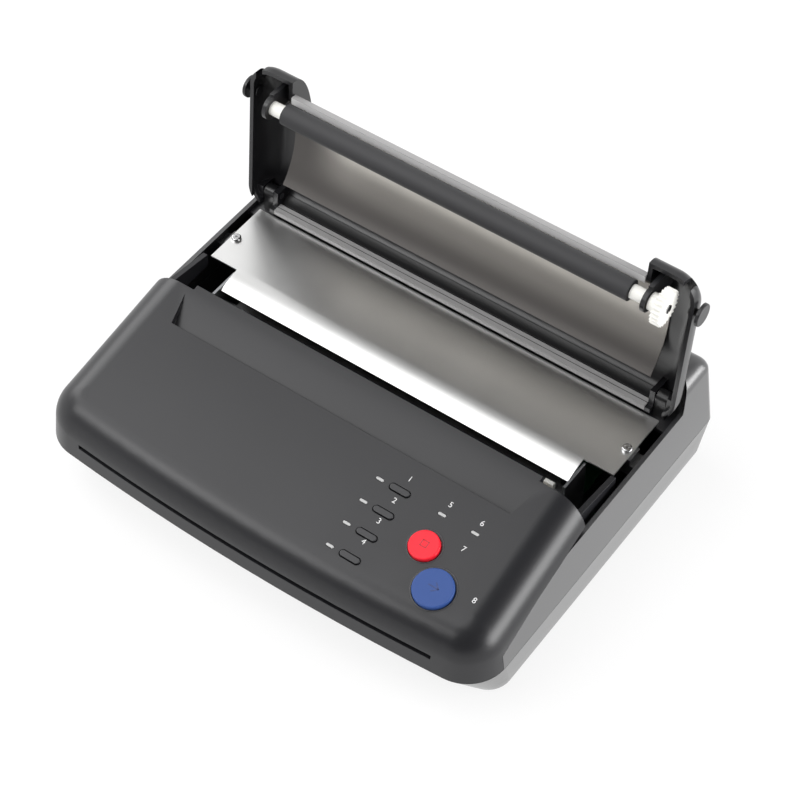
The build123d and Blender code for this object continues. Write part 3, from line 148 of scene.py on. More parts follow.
def linear(hex_colour):
    """An sRGB hex colour as linear RGBA."""
    raw = [int(hex_colour[i:i + 2], 16) / 255 for i in (1, 3, 5)]
    return *(c / 12.92 if c <= 0.04045 else ((c + 0.055) / 1.055) ** 2.4 for c in raw), 1.0


def add_node(tree, kind, inputs=None, tones=(), **settings):
    """Adds a node with its settings, its ramp's two hex tones, its values and its links."""
    node = tree.nodes.new(kind)
    for name, value in settings.items():
        setattr(node, name, value)
    for step, tone in enumerate(tones):
        node.color_ramp.elements[step].color = linear(tone)
    for socket, value in (inputs or {}).items():
        if isinstance(value, bpy.types.Node):
            value = value.outputs[0]
        if isinstance(value, bpy.types.NodeSocket):
            tree.links.new(value, node.inputs[socket])
        else:
            node.inputs[socket].default_value = value
    return node


def new_material(name):
    """An empty node material and its tree, with Object coordinates."""
    material = bpy.data.materials.new(name)
    material.use_nodes = True
    tree = material.node_tree
    tree.nodes.clear()
    place = add_node(tree, "ShaderNodeTexCoord").outputs["Object"]
    return material, tree, place


def finish_material(tree, shader):
    """Links the shader to the material's output."""
    add_node(tree, "ShaderNodeOutputMaterial", {"Surface": shader})


def moulded_abs(name, dark, light, roughness, grain=0.45, depth=0.02, edge=0.35, **sockets):
    """Injection-moulded plastic: eroded grain (size and depth in mm) and softly broken edges."""
    material, tree, place = new_material(name)
    cloud = add_node(
        tree, "ShaderNodeTexNoise", {"Vector": place, "Scale": CLOUD_SCALE, "Detail": 3.0}
    )
    texture = add_node(
        tree, "ShaderNodeTexNoise", {"Vector": place, "Scale": 1 / (grain * MM), "Detail": 2.0}
    )
    rounded = add_node(tree, "ShaderNodeBevel", {"Radius": edge * MM}, samples=4)
    bump = add_node(
        tree,
        "ShaderNodeBump",
        {"Height": texture, "Strength": 0.5, "Distance": depth * MM, "Normal": rounded},
    )
    rough = add_node(
        tree,
        "ShaderNodeMapRange",
        {
            "Value": texture,
            "To Min": roughness - ROUGHNESS_SPREAD,
            "To Max": roughness + ROUGHNESS_SPREAD,
        },
    )
    colour = add_node(tree, "ShaderNodeValToRGB", {"Fac": cloud}, tones=(dark, light))
    shader = add_node(
        tree,
        "ShaderNodeBsdfPrincipled",
        {"Base Color": colour, "Roughness": rough, "Normal": bump, **sockets},
    )
    finish_material(tree, shader)
    return material


def rolled_metal(name, dark, light, roughness, streak=(0.02, 1.2, 1.2), depth=0.004, uneven=0.2):
    """Rolled or brushed metal: faint streaks a millimetre wide, long where the scale is small."""
    material, tree, place = new_material(name)
    stretched = add_node(tree, "ShaderNodeMapping", {"Vector": place, "Scale": streak})
    lines = add_node(
        tree, "ShaderNodeTexNoise", {"Vector": stretched, "Scale": 1 / MM, "Detail": 3.0}
    )
    cloud = add_node(
        tree, "ShaderNodeTexNoise", {"Vector": place, "Scale": STEEL_CLOUD_SCALE, "Detail": 2.0}
    )
    bump = add_node(
        tree, "ShaderNodeBump", {"Height": lines, "Strength": 0.4, "Distance": depth * MM}
    )
    rough = add_node(
        tree,
        "ShaderNodeMapRange",
        {
            "Value": lines,
            "To Min": roughness * (1 - uneven),
            "To Max": roughness * (1 + uneven),
        },
    )
    colour = add_node(tree, "ShaderNodeValToRGB", {"Fac": cloud}, tones=(dark, light))
    shader = add_node(
        tree,
        "ShaderNodeBsdfPrincipled",
        {"Base Color": colour, "Metallic": 1.0, "Roughness": rough, "Normal": bump},
    )
    finish_material(tree, shader)
    return material


LINER_PAINTED_SHADE_HEIGHTS = (82, 108)  # heights in mm of the painted shade, from dark near the hinge to pale
LINER_PAINTED_SHADE_LEFT = (-114, -80)  # painted shade, from dark at the left end to pale


def satin_liner(painted_shade_tone, painted_light_tone):
    """Satin painted sheet with painted light: a painted pale band along its top, and painted shade
    near the hinge and at the left.
    """
    material, tree, place = new_material("satin_liner")
    along = add_node(tree, "ShaderNodeSeparateXYZ", {"Vector": place})
    shares = [
        add_node(
            tree,
            "ShaderNodeMapRange",
            {"Value": along.outputs[axis], "From Min": start * MM, "From Max": end * MM},
            interpolation_type="SMOOTHSTEP",
        )
        for axis, (start, end) in (("Z", LINER_PAINTED_SHADE_HEIGHTS), ("X", LINER_PAINTED_SHADE_LEFT))
    ]
    # painted light: how much of the pale tone each place of the sheet takes
    painted_light_share = add_node(tree, "ShaderNodeMath", dict(enumerate(shares)), operation="MULTIPLY")
    grain = add_node(tree, "ShaderNodeTexNoise", {"Vector": place, "Scale": 1 / (0.5 * MM)})
    bump = add_node(
        tree, "ShaderNodeBump", {"Height": grain, "Strength": 0.3, "Distance": 0.002 * MM}
    )
    rough = add_node(
        tree, "ShaderNodeMapRange", {"Value": grain, "To Min": 0.34, "To Max": 0.38}
    )
    colour = add_node(tree, "ShaderNodeValToRGB", {"Fac": painted_light_share}, tones=(painted_shade_tone, painted_light_tone))
    shader = add_node(
        tree,
        "ShaderNodeBsdfPrincipled",
        {"Base Color": colour, "Metallic": 0.5, "Roughness": rough, "Normal": bump},
    )
    finish_material(tree, shader)
    return material


def float_glass(tint):
    """Clear sheet glass with a little dust, which breaks up its reflections."""
    material, tree, place = new_material("flat_glass")
    dust = add_node(tree, "ShaderNodeTexNoise", {"Vector": place, "Scale": DUST_SCALE})
    rough = add_node(
        tree, "ShaderNodeMapRange", {"Value": dust, "To Min": 0.02, "To Max": 0.08}
    )
    shader = add_node(
        tree,
        "ShaderNodeBsdfPrincipled",
        {
            "Base Color": linear(tint),
            "Roughness": rough,
            "Transmission Weight": 0.9,
            "IOR": 1.5,
        },
    )
    finish_material(tree, shader)
    return material


def build_materials(colours):
    """All the finishes, by the name of the record's slot or of a finish that the steps give a
    piece.
    """
    casing = (colours.casing_dark, colours.casing_light)
    matte = {"Specular IOR Level": 0.45, "Coat Weight": 0.1, "Coat Roughness": 0.3}
    gloss = {"Specular IOR Level": 0.8, "Coat Weight": 1.0, "Coat Roughness": 0.3}
    satin = {"Specular IOR Level": 0.25}
    milky = {
        "Subsurface Weight": 0.3,
        "Subsurface Scale": 1.0 * MM,
        "Subsurface Radius": (1.0, 1.0, 1.0),
    }
    silver = {"grain": 0.6, "depth": 0.003}
    ink = {"depth": 0.003}
    return {
        # charcoal ABS from an eroded mould: a soft broad sheen over a nearly black body
        "housing_plastic": moulded_abs("charcoal_abs", *casing, 0.34, **matte),
        # the same ABS from a smoother mould: at a low angle the rear sides turn pale grey
        "rear_plastic": moulded_abs("smooth_abs", *casing, 0.36, **gloss),
        # black ABS, satin inside the lid
        "lid_plastic": moulded_abs("black_satin_abs", "#19191b", "#202022", 0.30, depth=0.01),
        # the tray's ABS has the coarsest grain, and takes up the pale floor at a low angle
        "tray_plastic": moulded_abs("tray_abs", "#1c1c1e", "#222224", 0.42, depth=0.03, **gloss),
        # painted liner sheet: satin, warm grey, with painted shade near the hinge and at the left
        # end and a painted pale band along its top
        "liner_grey": satin_liner("#54514f", "#aeaaa4"),
        # silver-painted trims: a fine even grain; the edge strip's silver is painted paler as
        # painted light, where the light falls flatter
        "strip_grey": moulded_abs("silver_strip", "#959494", "#9f9e9e", 0.36, **silver),
        "edge_grey_painted_paler": moulded_abs("silver_edge_painted_paler", "#cfcece", "#d9d8d8", 0.36, **silver),
        # grey of the band laid over the lid's black lip: a painted reflection
        "lip_reflection_grey": moulded_abs("lip_reflection_paint", "#969595", "#a09f9f", 0.4, **silver),
        # cold-rolled stainless sheet: soft mirror with cloudy streaks
        "bright_steel": rolled_metal(
            "rolled_stainless",
            "#dadad9",
            "#ededec",
            0.30,
            streak=(1.2, 0.02, 1.0),
            depth=0.0012,
            uneven=0.08,
        ),
        # zinc-plated frame sheet: grey and rather dull
        "frame_steel": rolled_metal("zinc_plate", "#8d8f92", "#a2a4a6", 0.35),
        # nickel-plated screws and ground shafts: small bright highlights
        "screw_steel": rolled_metal("plated_screw", "#b9b9ba", "#c9c9ca", 0.22),
        "shaft_steel": rolled_metal("ground_steel", "#b4b4b5", "#c6c6c7", 0.2),
        # extruded aluminium fins: drawn lines along their length
        "heat_sink": rolled_metal("extruded_aluminium", "#a9abac", "#bcbdbe", 0.36),
        # glazed ceramic of the print head: smooth, warm grey
        "ceramic": moulded_abs("glazed_ceramic", "#8b8473", "#968f7f", 0.2, depth=0.002),
        # silicone roller: matt, with no clear highlight
        "black_rubber": moulded_abs(
            "silicone_rubber", "#28282a", "#303032", 0.6, grain=0.3, depth=0.01
        ),
        # natural nylon: white, slightly translucent
        "white_nylon": moulded_abs(
            "natural_nylon", "#e9e8e2", "#f4f3ef", 0.35, depth=0.005, **milky
        ),
        # solder mask on glass fibre: green, with the weave just felt
        "board_green": moulded_abs("solder_mask", "#1d4a2c", "#245636", 0.35, grain=1.2),
        # drawn steel can of the motor
        "motor_steel": rolled_metal("motor_can", "#7d7f82", "#8f9194", 0.3),
        # glass-filled nylon: black and smooth
        "black_plastic": moulded_abs("black_nylon", "#141415", "#1b1b1c", 0.3, depth=0.008),
        # polycarbonate caps: strong colour under a weak gloss
        "red_cap": moulded_abs(
            "red_cap", colours.stop_dark, colours.stop_light, 0.3, depth=0.002, **satin
        ),
        "blue_cap": moulded_abs(
            "blue_cap", colours.copy_dark, colours.copy_light, 0.38, depth=0.006, **satin
        ),
        # small keys: dark and smoother than the panel
        "key_cap": moulded_abs("key_cap", "#202023", "#27272a", 0.3, depth=0.01),
        # frosted light pipes: pale grey while unlit
        "light_lens": moulded_abs("light_lens", "#a9a9a9", "#b5b5b5", 0.35, depth=0.003),
        # screen-printed inks: flat and matt
        "print_white": moulded_abs("print_white", "#dedede", "#e8e8e8", 0.5, **ink),
        "print_grey": moulded_abs("print_grey", "#0e0e0f", "#131314", 0.5, **ink),
        "print_blue": moulded_abs("print_blue", "#24386b", "#2b4078", 0.4, **ink),
        "print_red": moulded_abs("print_red", "#a81724", "#b41c29", 0.35, **ink),
        # the smoother turned edge round each cap's hole: real gloss, and a tone a little paler
        # than the casing that is a painted highlight
        "ring_grey_painted_highlight": moulded_abs("ring_edge", "#2b2b2e", "#333336", 0.25, depth=0.002),
        "glass": float_glass("#dfe6e4"),
    }


MATERIALS = {}
NODE_FINISHES = {
    "hinge_brackets": "black_plastic",
    "hinge_pins": "frame_steel",
    # the front edge strip: its silver is painted paler, as painted light
    "lid_edge_strip": "edge_grey_painted_paler",
}


def dress(piece, name):
    """Gives a piece one finish."""
    piece.data.materials.clear()
    piece.data.materials.append(MATERIALS[name])


# ---------------------------------------------------------------- modelling helpers
def nothing_selected():
    """Leaves edit mode and deselects everything."""
    if bpy.context.object and bpy.context.object.mode != "OBJECT":
        bpy.ops.object.mode_set(mode="OBJECT")
    bpy.ops.object.select_all(action="DESELECT")


def only(piece):
    """Makes a piece the one selected and active object."""
    nothing_selected()
    piece.select_set(True)
    bpy.context.view_layer.objects.active = piece


def edit_all():
    """Opens the active piece for editing, with all of it selected."""
    bpy.ops.object.mode_set(mode="EDIT")
    bpy.ops.mesh.select_all(action="SELECT")


def place_mesh(piece, matrix):
    """Puts a piece in its place in its mesh, with the object left at the origin."""
    only(piece)
    piece.matrix_world = matrix @ piece.matrix_world
    bpy.ops.object.transform_apply(location=True, rotation=True, scale=True)


def finish_piece(piece, name, body, finish, angle=35.0):
    """Names a piece, shades it smooth where it curves, dresses it and lets it ride on its body."""
    only(piece)
    piece.name = name
    piece.data.name = name
    bpy.ops.object.shade_smooth_by_angle(angle=radians(angle))
    dress(piece, finish)
    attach(piece, body)
    return piece


def turned(profile, matrix, steps):
    """A round piece drawn by (radius, height) in mm from its rim to its middle, closed there."""
    nothing_selected()
    radius, height = profile[0]
    bpy.ops.mesh.primitive_circle_add(
        vertices=steps, radius=radius * MM, fill_type="NOTHING", location=(0, 0, height * MM)
    )
    piece = bpy.context.object
    bpy.ops.object.transform_apply(location=True)
    edit_all()
    for next_radius, next_height in profile[1:]:
        rise = (next_height - height) * MM
        bpy.ops.mesh.extrude_edges_move(TRANSFORM_OT_translate={"value": (0, 0, rise)})
        share = next_radius / radius
        bpy.ops.transform.resize(
            value=(share, share, 1), center_override=(0, 0, next_height * MM)
        )
        radius, height = next_radius, next_height
    bpy.ops.mesh.edge_face_add()
    bpy.ops.mesh.select_all(action="SELECT")
    bpy.ops.mesh.normals_make_consistent(inside=False)
    bpy.ops.object.mode_set(mode="OBJECT")
    place_mesh(piece, matrix)
    return piece


def ring(inner, outer, height, edge, matrix, steps=96):
    """A flat ring with rounded edges, in millimetres."""
    nothing_selected()
    bpy.ops.mesh.primitive_circle_add(vertices=steps, radius=outer * MM, fill_type="NGON")
    piece = bpy.context.object
    edit_all()
    bpy.ops.mesh.inset(thickness=(outer - inner) * MM)
    bpy.ops.mesh.delete(type="FACE")
    bpy.ops.mesh.select_all(action="SELECT")
    bpy.ops.object.mode_set(mode="OBJECT")
    wall = piece.modifiers.new("height", "SOLIDIFY")
    wall.thickness = height * MM
    wall.offset = 1.0
    bevel = piece.modifiers.new("edge", "BEVEL")
    bevel.width = edge * MM
    bevel.segments = 3
    bevel.limit_method = "ANGLE"
    only(piece)
    for modifier in ("height", "edge"):
        bpy.ops.object.modifier_apply(modifier=modifier)
    place_mesh(piece, matrix)
    return piece


def block(size, edge, matrix, segments=3):
    """A block with rounded edges, in millimetres, standing on its origin."""
    nothing_selected()
    bpy.ops.mesh.primitive_cube_add(size=1.0)
    piece = bpy.context.object
    piece.scale = [part * MM for part in size]
    piece.location = (0, 0, size[2] * MM / 2)
    bpy.ops.object.transform_apply(location=True, scale=True)
    edit_all()
    bpy.ops.mesh.bevel(offset=edge * MM, segments=segments, affect="EDGES")
    bpy.ops.object.mode_set(mode="OBJECT")
    place_mesh(piece, matrix)
    return piece


def joined(pieces):
    """One piece from several."""
    nothing_selected()
    for piece in pieces:
        piece.select_set(True)
    bpy.context.view_layer.objects.active = pieces[0]
    bpy.ops.object.join()
    return pieces[0]


def cut_out(piece, cutter):
    """Takes the cutter out of the piece."""
    only(piece)
    bpy.ops.object.modifier_add(type="BOOLEAN")
    cut = piece.modifiers[-1]
    cut.operation = "DIFFERENCE"
    cut.object = cutter
    bpy.ops.object.modifier_apply(modifier=cut.name)
    only(cutter)
    bpy.ops.object.delete()
    return piece


FIGURE_SHARE = 0.7  # a figure's height as a share of the font's size
PRINT_THICKNESS = 0.02


def printed_number(text, height, matrix):
    """A plain printed number, a hair above its surface."""
    nothing_selected()
    bpy.ops.object.text_add()
    piece = bpy.context.object
    piece.data.body = text
    piece.data.size = height * MM / FIGURE_SHARE
    piece.data.align_x = "CENTER"
    piece.data.align_y = "CENTER"
    piece.data.extrude = PRINT_THICKNESS * MM
    piece.data.resolution_u = 4
    bpy.ops.object.convert(target="MESH")
    place_mesh(piece, matrix)
    return piece


def printed_bar(face, x, y, length, width, turn):
    """A thin printed bar on a face, turned in its plane: millimetres and degrees."""
    stand = face @ at(x, y, 0.0) @ Matrix.Rotation(radians(turn), 4, "Z")
    return block((length, width, 2 * PRINT_THICKNESS), 0.01, stand, 1)


def smooth_copy(node, name, finish, angle=30.0):
    """A merged, smooth-shaded copy of a CAD node that stands for it."""
    source = NODES[node]
    only(source)
    bpy.ops.object.duplicate()
    piece = bpy.context.object
    piece.parent = None
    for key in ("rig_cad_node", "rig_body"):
        if key in piece:
            del piece[key]
    edit_all()
    bpy.ops.mesh.remove_doubles(threshold=0.002 * MM)
    bpy.ops.mesh.customdata_custom_splitnormals_clear()
    bpy.ops.object.mode_set(mode="OBJECT")
    finish_piece(piece, name, source["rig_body"], finish, angle)
    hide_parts(node)
    return piece


# ---------------------------------------------------------------- settings
def colour_setting(name, description, default):
    """A hex colour of the finish settings."""
    return bpy.props.StringProperty(name=name, description=description, default=default)


class CopierFinish(bpy.types.PropertyGroup):
    """Colours of the visible plastics."""
    casing_dark: colour_setting("Casing, dark", "Darker tone of the casing", "#18181b")
    casing_light: colour_setting("Casing, light", "Lighter tone of the casing", "#1f1f22")
    stop_dark: colour_setting("Red cap, dark", "Darker tone of the red cap", "#e31a2b")
    stop_light: colour_setting("Red cap, light", "Lighter tone of the red cap", "#ef2637")
    copy_dark: colour_setting("Blue cap, dark", "Darker tone of the blue cap", "#2c4783")
    copy_light: colour_setting("Blue cap, light", "Lighter tone of the blue cap", "#34508c")


class CopierMarks(bpy.types.PropertyGroup):
    """Printed marks."""
    number_height: bpy.props.FloatProperty(
        name="Number height",
        description="Height of the printed numbers",
        default=3.2 * MM,
        min=0.5 * MM,
        subtype="DISTANCE",
        unit="LENGTH",
    )


class CopierLid(bpy.types.PropertyGroup):
    """The lid's lip, with the lid shut."""
    lip_y: bpy.props.FloatProperty(
        name="Lip front",
        description="Where the lip's front face stands",
        default=-1.6 * MM,
        subtype="DISTANCE",
        unit="LENGTH",
    )
    lip_z: bpy.props.FloatProperty(
        name="Lip middle",
        description="Height of the middle of the lip's front face",
        default=58.9 * MM,
        subtype="DISTANCE",
        unit="LENGTH",
    )
    lip_half: bpy.props.FloatProperty(
        name="Lip half length",
        description="Half the lip's length between the end caps",
        default=112.0 * MM,
        subtype="DISTANCE",
        unit="LENGTH",
    )


class CopierStudio(bpy.types.PropertyGroup):
    """Camera and even light."""
    camera_place: bpy.props.FloatVectorProperty(
        name="Camera",
        description="Where the camera stands",
        default=(0.4865, -0.6527, 1.0320),
        subtype="TRANSLATION",
        unit="LENGTH",
    )
    azimuth: bpy.props.FloatProperty(
        name="Azimuth",
        description="The way the camera faces, left of straight ahead",
        default=radians(35.728),
        subtype="ANGLE",
    )
    elevation: bpy.props.FloatProperty(
        name="Elevation",
        description="How far the camera looks down",
        default=radians(50.291),
        subtype="ANGLE",
    )
    lens: bpy.props.FloatProperty(
        name="Lens",
        description="Focal length on a 36 mm sensor, in millimetres",
        default=107.1,
        min=10.0,
    )
    world_light: bpy.props.FloatProperty(
        name="World light",
        description="Strength of the even light from all round",
        default=0.6,
        min=0.0,
    )


# ---------------------------------------------------------------- operators
class COPIER_OT_finishes(bpy.types.Operator):
    """Give every piece of the frame its finish"""
    bl_idname = "copier.finishes"
    bl_label = "Finishes"

    def execute(self, context):
        MATERIALS.update(build_materials(context.scene.copier_finish))
        for row in frame["record"]["subparts"]:
            dress(NODES[row["node"]], NODE_FINISHES.get(row["node"], row["material_slot"]))
        return {"FINISHED"}


SHELLS = {
    # node: (name of the piece that stands for it, its finish)
    "front_cover": ("control_cover", "housing_plastic"),
    "rear_housing": ("back_housing", "rear_plastic"),
    "base_tray": ("bottom_tray", "tray_plastic"),
    "lid_shell": ("lid_casing", "lid_plastic"),
    "lid_liner": ("lid_reflector", "liner_grey"),
    "paper_plate": ("sheet_table", "bright_steel"),
    "platen_rubber": ("platen_sleeve", "black_rubber"),
    "platen_gear": ("platen_wheel", "white_nylon"),
    "platen_bushes": ("roller_bushes", "white_nylon"),
}


class COPIER_OT_shells(bpy.types.Operator):
    """Smooth the moulded shells, the steel sheet and the roller"""
    bl_idname = "copier.shells"
    bl_label = "Shells"

    def execute(self, context):
        for node, (name, finish) in SHELLS.items():
            smooth_copy(node, name, finish)
        return {"FINISHED"}


LIP_REFLECTION_SIZE = (3.5, 0.35, 0.15)  # width, thickness and edge of the grey band on the lip, a painted reflection, in mm
HINGE_TRIMS = {
    # name: (finish, depth, height, edge, y, z), in mm with the lid open
    "hinge_rim": ("strip_grey", 0.3, 2.6, 0.12, 73.1, 59.2),
    # a near-black line of painted shade in the groove
    "hinge_groove_painted_shade": ("print_grey", 0.35, 0.14, 0.03, 76.4, 61.98),
}


class COPIER_OT_trims(bpy.types.Operator):
    """Lay a grey band on the lid's lip as a painted reflection, and part the hinge edge into a
    black strip of painted shade and a grey strip
    """
    bl_idname = "copier.trims"
    bl_label = "Lid trims"

    def execute(self, context):
        lip = context.scene.copier_lid
        width, thickness, edge = LIP_REFLECTION_SIZE
        stand = on_lid(0, lip.lip_y / MM, lip.lip_z / MM) @ Matrix.Rotation(pi / 2, 4, "X")
        # the lid's black lip reflects the light along its face; this grey band paints that
        # reflection
        lip_band = block((2 * lip.lip_half / MM, width, thickness), edge, stand)
        finish_piece(lip_band, "lip_reflection_band", "lid", "lip_reflection_grey")

        only(smooth_copy("hinge_strips", "hinge_trim", "strip_grey"))
        edit_all()
        bpy.ops.mesh.separate(type="LOOSE")
        bpy.ops.object.mode_set(mode="OBJECT")
        lower, upper = sorted(
            context.selected_objects, key=lambda piece: max(v.co.z for v in piece.data.vertices)
        )
        # the upper strip is painted black as painted shade; the lower keeps its grey
        for number, piece, finish in ((1, lower, "strip_grey"), (2, upper, "black_plastic")):
            finish_piece(piece, f"hinge_trim_{number}", "lid", finish)
            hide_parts("hinge_strips")

        # the strip turns down over the lid's rim, and a fine groove runs along its top, drawn as a
        # thin near-black strip of painted shade
        low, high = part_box("hinge_strips")
        length = (high.x - low.x) / MM
        for name, (finish, depth, height, edge, y, z) in HINGE_TRIMS.items():
            piece = block((length, depth, height), edge, at(0.0, y, z))
            finish_piece(piece, name, "lid", finish)
        return {"FINISHED"}


NUMBERS = (
    # figure, x and y on the panel in mm
    ("1", 55.3, -44.2),
    ("2", 55.4, -58.8),
    ("3", 55.4, -72.8),
    ("4", 55.4, -86.7),
    ("5", 81.5, -45.4),
    ("6", 101.1, -45.8),
    ("7", 101.0, -63.0),
    ("8", 121.6, -84.0),
)
NUMBER_LIFT = 0.03
RINGS = {
    # cap: (name, inner radius, outer radius), in mm
    "stop_button": ("stop_ring", 9.0, 9.9),
    "copy_button": ("copy_ring", 11.6, 12.5),
}
RING_HEIGHT, RING_EDGE, RING_SINK = 0.16, 0.12, 0.04
ARROW = (
    # x, y, length and width in mm, and turn in degrees
    (0.0, 0.0, 6.0, 0.7, 0),
    (1.5, 1.35, 4.2, 0.7, -42),
    (1.5, -1.35, 4.2, 0.7, 42),
)
SQUARE = (
    (0.0, 1.7, 4.0, 0.5, 0),
    (0.0, -1.7, 4.0, 0.5, 0),
    (1.75, 0.0, 3.9, 0.5, 90),
    (-1.75, 0.0, 3.9, 0.5, 90),
)
SIGNS = {
    # cap: (name, finish, bars)
    "copy_button": ("copy_sign", "print_blue", ARROW),
    "stop_button": ("stop_sign", "print_red", SQUARE),
}


class COPIER_OT_marks(bpy.types.Operator):
    """Print the panel's plain numbers and the caps' plain signs, and set the rings round them"""
    bl_idname = "copier.marks"
    bl_label = "Panel marks"

    def execute(self, context):
        height = context.scene.copier_marks.number_height / MM
        numbers = [
            printed_number(text, height, panel_spot(x, y, NUMBER_LIFT)) for text, x, y in NUMBERS
        ]
        finish_piece(joined(numbers), "panel_numbers", "housing", "print_white")
        for cap, (name, inner, outer) in RINGS.items():
            stand = panel_matrix(middle(cap), -RING_SINK * MM)
            piece = ring(inner, outer, RING_HEIGHT, RING_EDGE, stand)
            # a ring a little paler than the casing: a painted highlight round the hole
            finish_piece(piece, name, "housing", "ring_grey_painted_highlight")
        for cap, (name, finish, bars) in SIGNS.items():
            face = top_face(cap)
            finish_piece(joined([printed_bar(face, *bar) for bar in bars]), name, cap, finish)
        return {"FINISHED"}


HEAD_RADIUS, HEAD_HEIGHT = 2.9, 1.9
HEAD_TURN = radians(35)  # the way the slots lie
HEAD_SLOT = (7.0, 0.75, 2.0)
HEAD_SLOT_FLOOR = 0.95
HEAD_PROFILE = (
    (HEAD_RADIUS, 0.0),
    (HEAD_RADIUS, 0.9),
    (2.75, 1.3),
    (2.35, 1.65),
    (1.7, 1.85),
    (0.8, HEAD_HEIGHT),
)


class COPIER_OT_screws(bpy.types.Operator):
    """Dress the two screws of the steel plate with slotted pan heads"""
    bl_idname = "copier.screws"
    bl_label = "Plate screws"

    def execute(self, context):
        low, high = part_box("plate_screws")
        inset = HEAD_RADIUS * MM
        for side, x in (("left", low.x + inset), ("right", high.x - inset)):
            centre = Vector((x, (low.y + high.y) / 2, high.z - HEAD_HEIGHT * MM))
            stand = Matrix.Translation(centre) @ Matrix.Rotation(HEAD_TURN, 4, "Z")
            head = turned(HEAD_PROFILE, stand, 48)
            cutter = block(HEAD_SLOT, 0.02, stand @ at(0, 0, HEAD_SLOT_FLOOR), 1)
            finish_piece(
                cut_out(head, cutter), f"plate_screw_head_{side}", "housing", "screw_steel"
            )
        return {"FINISHED"}


FLOOR_SIZE, FLOOR_SINK = 6.0, 0.0002
FLOOR_TONES = ("#f6f6f6", "#fafafa")
FLOOR_WHITE_SHARE = 0.82  # how much of the floor the camera sees as plain white
DIM_WAY = (0.18, -0.45, 0.875)  # up and to the front, where the room is dim in reflections
DIM_START, DIM_END, DIM_LEVEL = 0.35, 0.65, 0.12
LAMPS = {
    # name: (place, aim, size) in metres, and power in watts
    "right_softbox": ((1.3, 0.4, 0.35), (0.1, 0, 0.03), (1.2, 0.6), 18.0),
    "left_softbox": ((-1.3, 0.3, 0.9), (0, 0, 0.05), (1.0, 0.8), 8.0),
    "top_softbox": ((-0.48, -0.27, 1.2), (0, 0, 0.05), (0.9, 1.25), 8.0),
    "front_softbox": ((-0.62, -1.0, 1.05), (0, 0, 0.05), (0.9, 0.5), 6.0),
}
WHITE = (1, 1, 1, 1)


def largest(tree, first, second):
    """The larger of two values."""
    return add_node(tree, "ShaderNodeMath", {0: first, 1: second}, operation="MAXIMUM")


def pale_floor():
    """A pale floor that the camera and mirrors see nearly white, and that keeps its shadows."""
    nothing_selected()
    bpy.ops.mesh.primitive_plane_add(size=FLOOR_SIZE, location=(0, 0, -FLOOR_SINK))
    floor = bpy.context.object
    floor.name = "studio_floor"
    material, tree, place = new_material("pale_floor")
    cloud = add_node(tree, "ShaderNodeTexNoise", {"Vector": place, "Scale": FLOOR_SCALE})
    colour = add_node(tree, "ShaderNodeValToRGB", {"Fac": cloud}, tones=FLOOR_TONES)
    paint = add_node(tree, "ShaderNodeBsdfDiffuse", {"Color": colour})
    glow = add_node(tree, "ShaderNodeEmission", {"Color": WHITE, "Strength": 1.0})
    rays = add_node(tree, "ShaderNodeLightPath").outputs
    seen = add_node(
        tree,
        "ShaderNodeMath",
        {0: rays["Is Camera Ray"], 1: FLOOR_WHITE_SHARE},
        operation="MULTIPLY",
    )
    mirrored = largest(tree, rays["Is Glossy Ray"], rays["Is Transmission Ray"])
    share = largest(tree, seen, mirrored)
    mixed = add_node(tree, "ShaderNodeMixShader", {0: share, 1: paint, 2: glow})
    finish_material(tree, mixed)
    floor.data.materials.append(material)


def white_room(scene, strength):
    """Even light all round, seen as plain white but dimmer in reflections from the front."""
    world = bpy.data.worlds.new("studio_world")
    scene.world = world
    world.use_nodes = True
    tree = world.node_tree
    tree.nodes.clear()
    rays = add_node(tree, "ShaderNodeLightPath").outputs
    even = add_node(tree, "ShaderNodeBackground", {"Color": WHITE, "Strength": strength})
    way = add_node(tree, "ShaderNodeTexCoord").outputs["Generated"]
    forward = add_node(
        tree, "ShaderNodeVectorMath", {0: way, 1: DIM_WAY}, operation="DOT_PRODUCT"
    )
    room = add_node(
        tree,
        "ShaderNodeMapRange",
        {
            "Value": forward.outputs["Value"],
            "From Min": DIM_START,
            "From Max": DIM_END,
            "To Min": 1.0,
            "To Max": DIM_LEVEL,
        },
        interpolation_type="SMOOTHSTEP",
    )
    bright = largest(tree, room, rays["Is Camera Ray"])
    white = add_node(tree, "ShaderNodeBackground", {"Color": WHITE, "Strength": bright})
    seen = largest(tree, rays["Is Camera Ray"], rays["Is Glossy Ray"])
    share = largest(tree, seen, rays["Is Transmission Ray"])
    mixed = add_node(tree, "ShaderNodeMixShader", {0: share, 1: even, 2: white})
    add_node(tree, "ShaderNodeOutputWorld", {"Surface": mixed})


def soft_lamp(name, place, aim, size, power):
    """A rectangular soft lamp aimed at a point."""
    nothing_selected()
    bpy.ops.object.light_add(type="AREA", location=place)
    lamp = bpy.context.object
    lamp.name = name
    lamp.data.shape = "RECTANGLE"
    lamp.data.size, lamp.data.size_y = size
    lamp.data.energy = power
    lamp.rotation_euler = (Vector(aim) - Vector(place)).to_track_quat("-Z", "Y").to_euler()


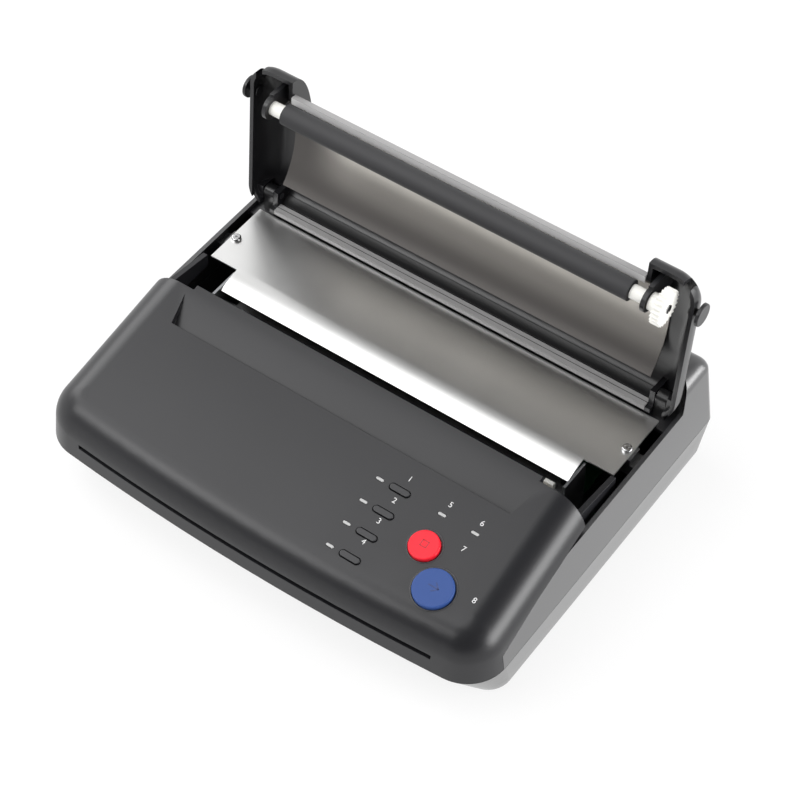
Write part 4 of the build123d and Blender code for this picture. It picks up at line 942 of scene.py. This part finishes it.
class COPIER_OT_studio(bpy.types.Operator):
    """Set the pale floor, the even light, the soft lamps and the camera"""
    bl_idname = "copier.studio"
    bl_label = "Studio"

    def execute(self, context):
        studio = context.scene.copier_studio
        pale_floor()
        white_room(context.scene, studio.world_light)
        for name, (place, aim, size, power) in LAMPS.items():
            soft_lamp(name, place, aim, size, power)

        camera_data = bpy.data.cameras.new("studio_camera")
        camera_data.lens = studio.lens
        camera_data.sensor_width = 36.0
        camera = bpy.data.objects.new("studio_camera", camera_data)
        context.scene.collection.objects.link(camera)
        camera.location = studio.camera_place
        camera.rotation_euler = (pi / 2 - studio.elevation, 0, studio.azimuth)
        context.scene.camera = camera
        context.scene.view_settings.view_transform = "Standard"
        return {"FINISHED"}


class COPIER_PT_panel(bpy.types.Panel):
    """Lists the copier's settings and steps"""
    bl_idname = "COPIER_PT_panel"
    bl_label = "Thermal stencil copier"
    bl_space_type = "VIEW_3D"
    bl_region_type = "UI"
    bl_category = "Copier"

    def draw(self, context):
        for setting in SETTINGS:
            group = getattr(context.scene, setting)
            column = self.layout.column(align=True)
            for name in group.bl_rna.properties.keys():
                if name not in ("rna_type", "name"):
                    column.prop(group, name)
        for step in STEPS:
            self.layout.operator(step.bl_idname)


SETTINGS = {
    # name on the scene: its group
    "copier_finish": CopierFinish,
    "copier_marks": CopierMarks,
    "copier_lid": CopierLid,
    "copier_studio": CopierStudio,
}
STEPS = (
    COPIER_OT_finishes,
    COPIER_OT_shells,
    COPIER_OT_trims,
    COPIER_OT_marks,
    COPIER_OT_screws,
    COPIER_OT_studio,
)
KINDS = (*SETTINGS.values(), *STEPS, COPIER_PT_panel)


def register():
    for kind in KINDS:
        bpy.utils.register_class(kind)
    for name, group in SETTINGS.items():
        setattr(bpy.types.Scene, name, bpy.props.PointerProperty(type=group))


def unregister():
    for name in SETTINGS:
        delattr(bpy.types.Scene, name)
    for kind in reversed(KINDS):
        bpy.utils.unregister_class(kind)


def main():
    """Builds everything."""
    register()
    for step in STEPS:
        area, name = step.bl_idname.split(".")
        getattr(getattr(bpy.ops, area), name)()


if __name__ == "__main__":
    main()
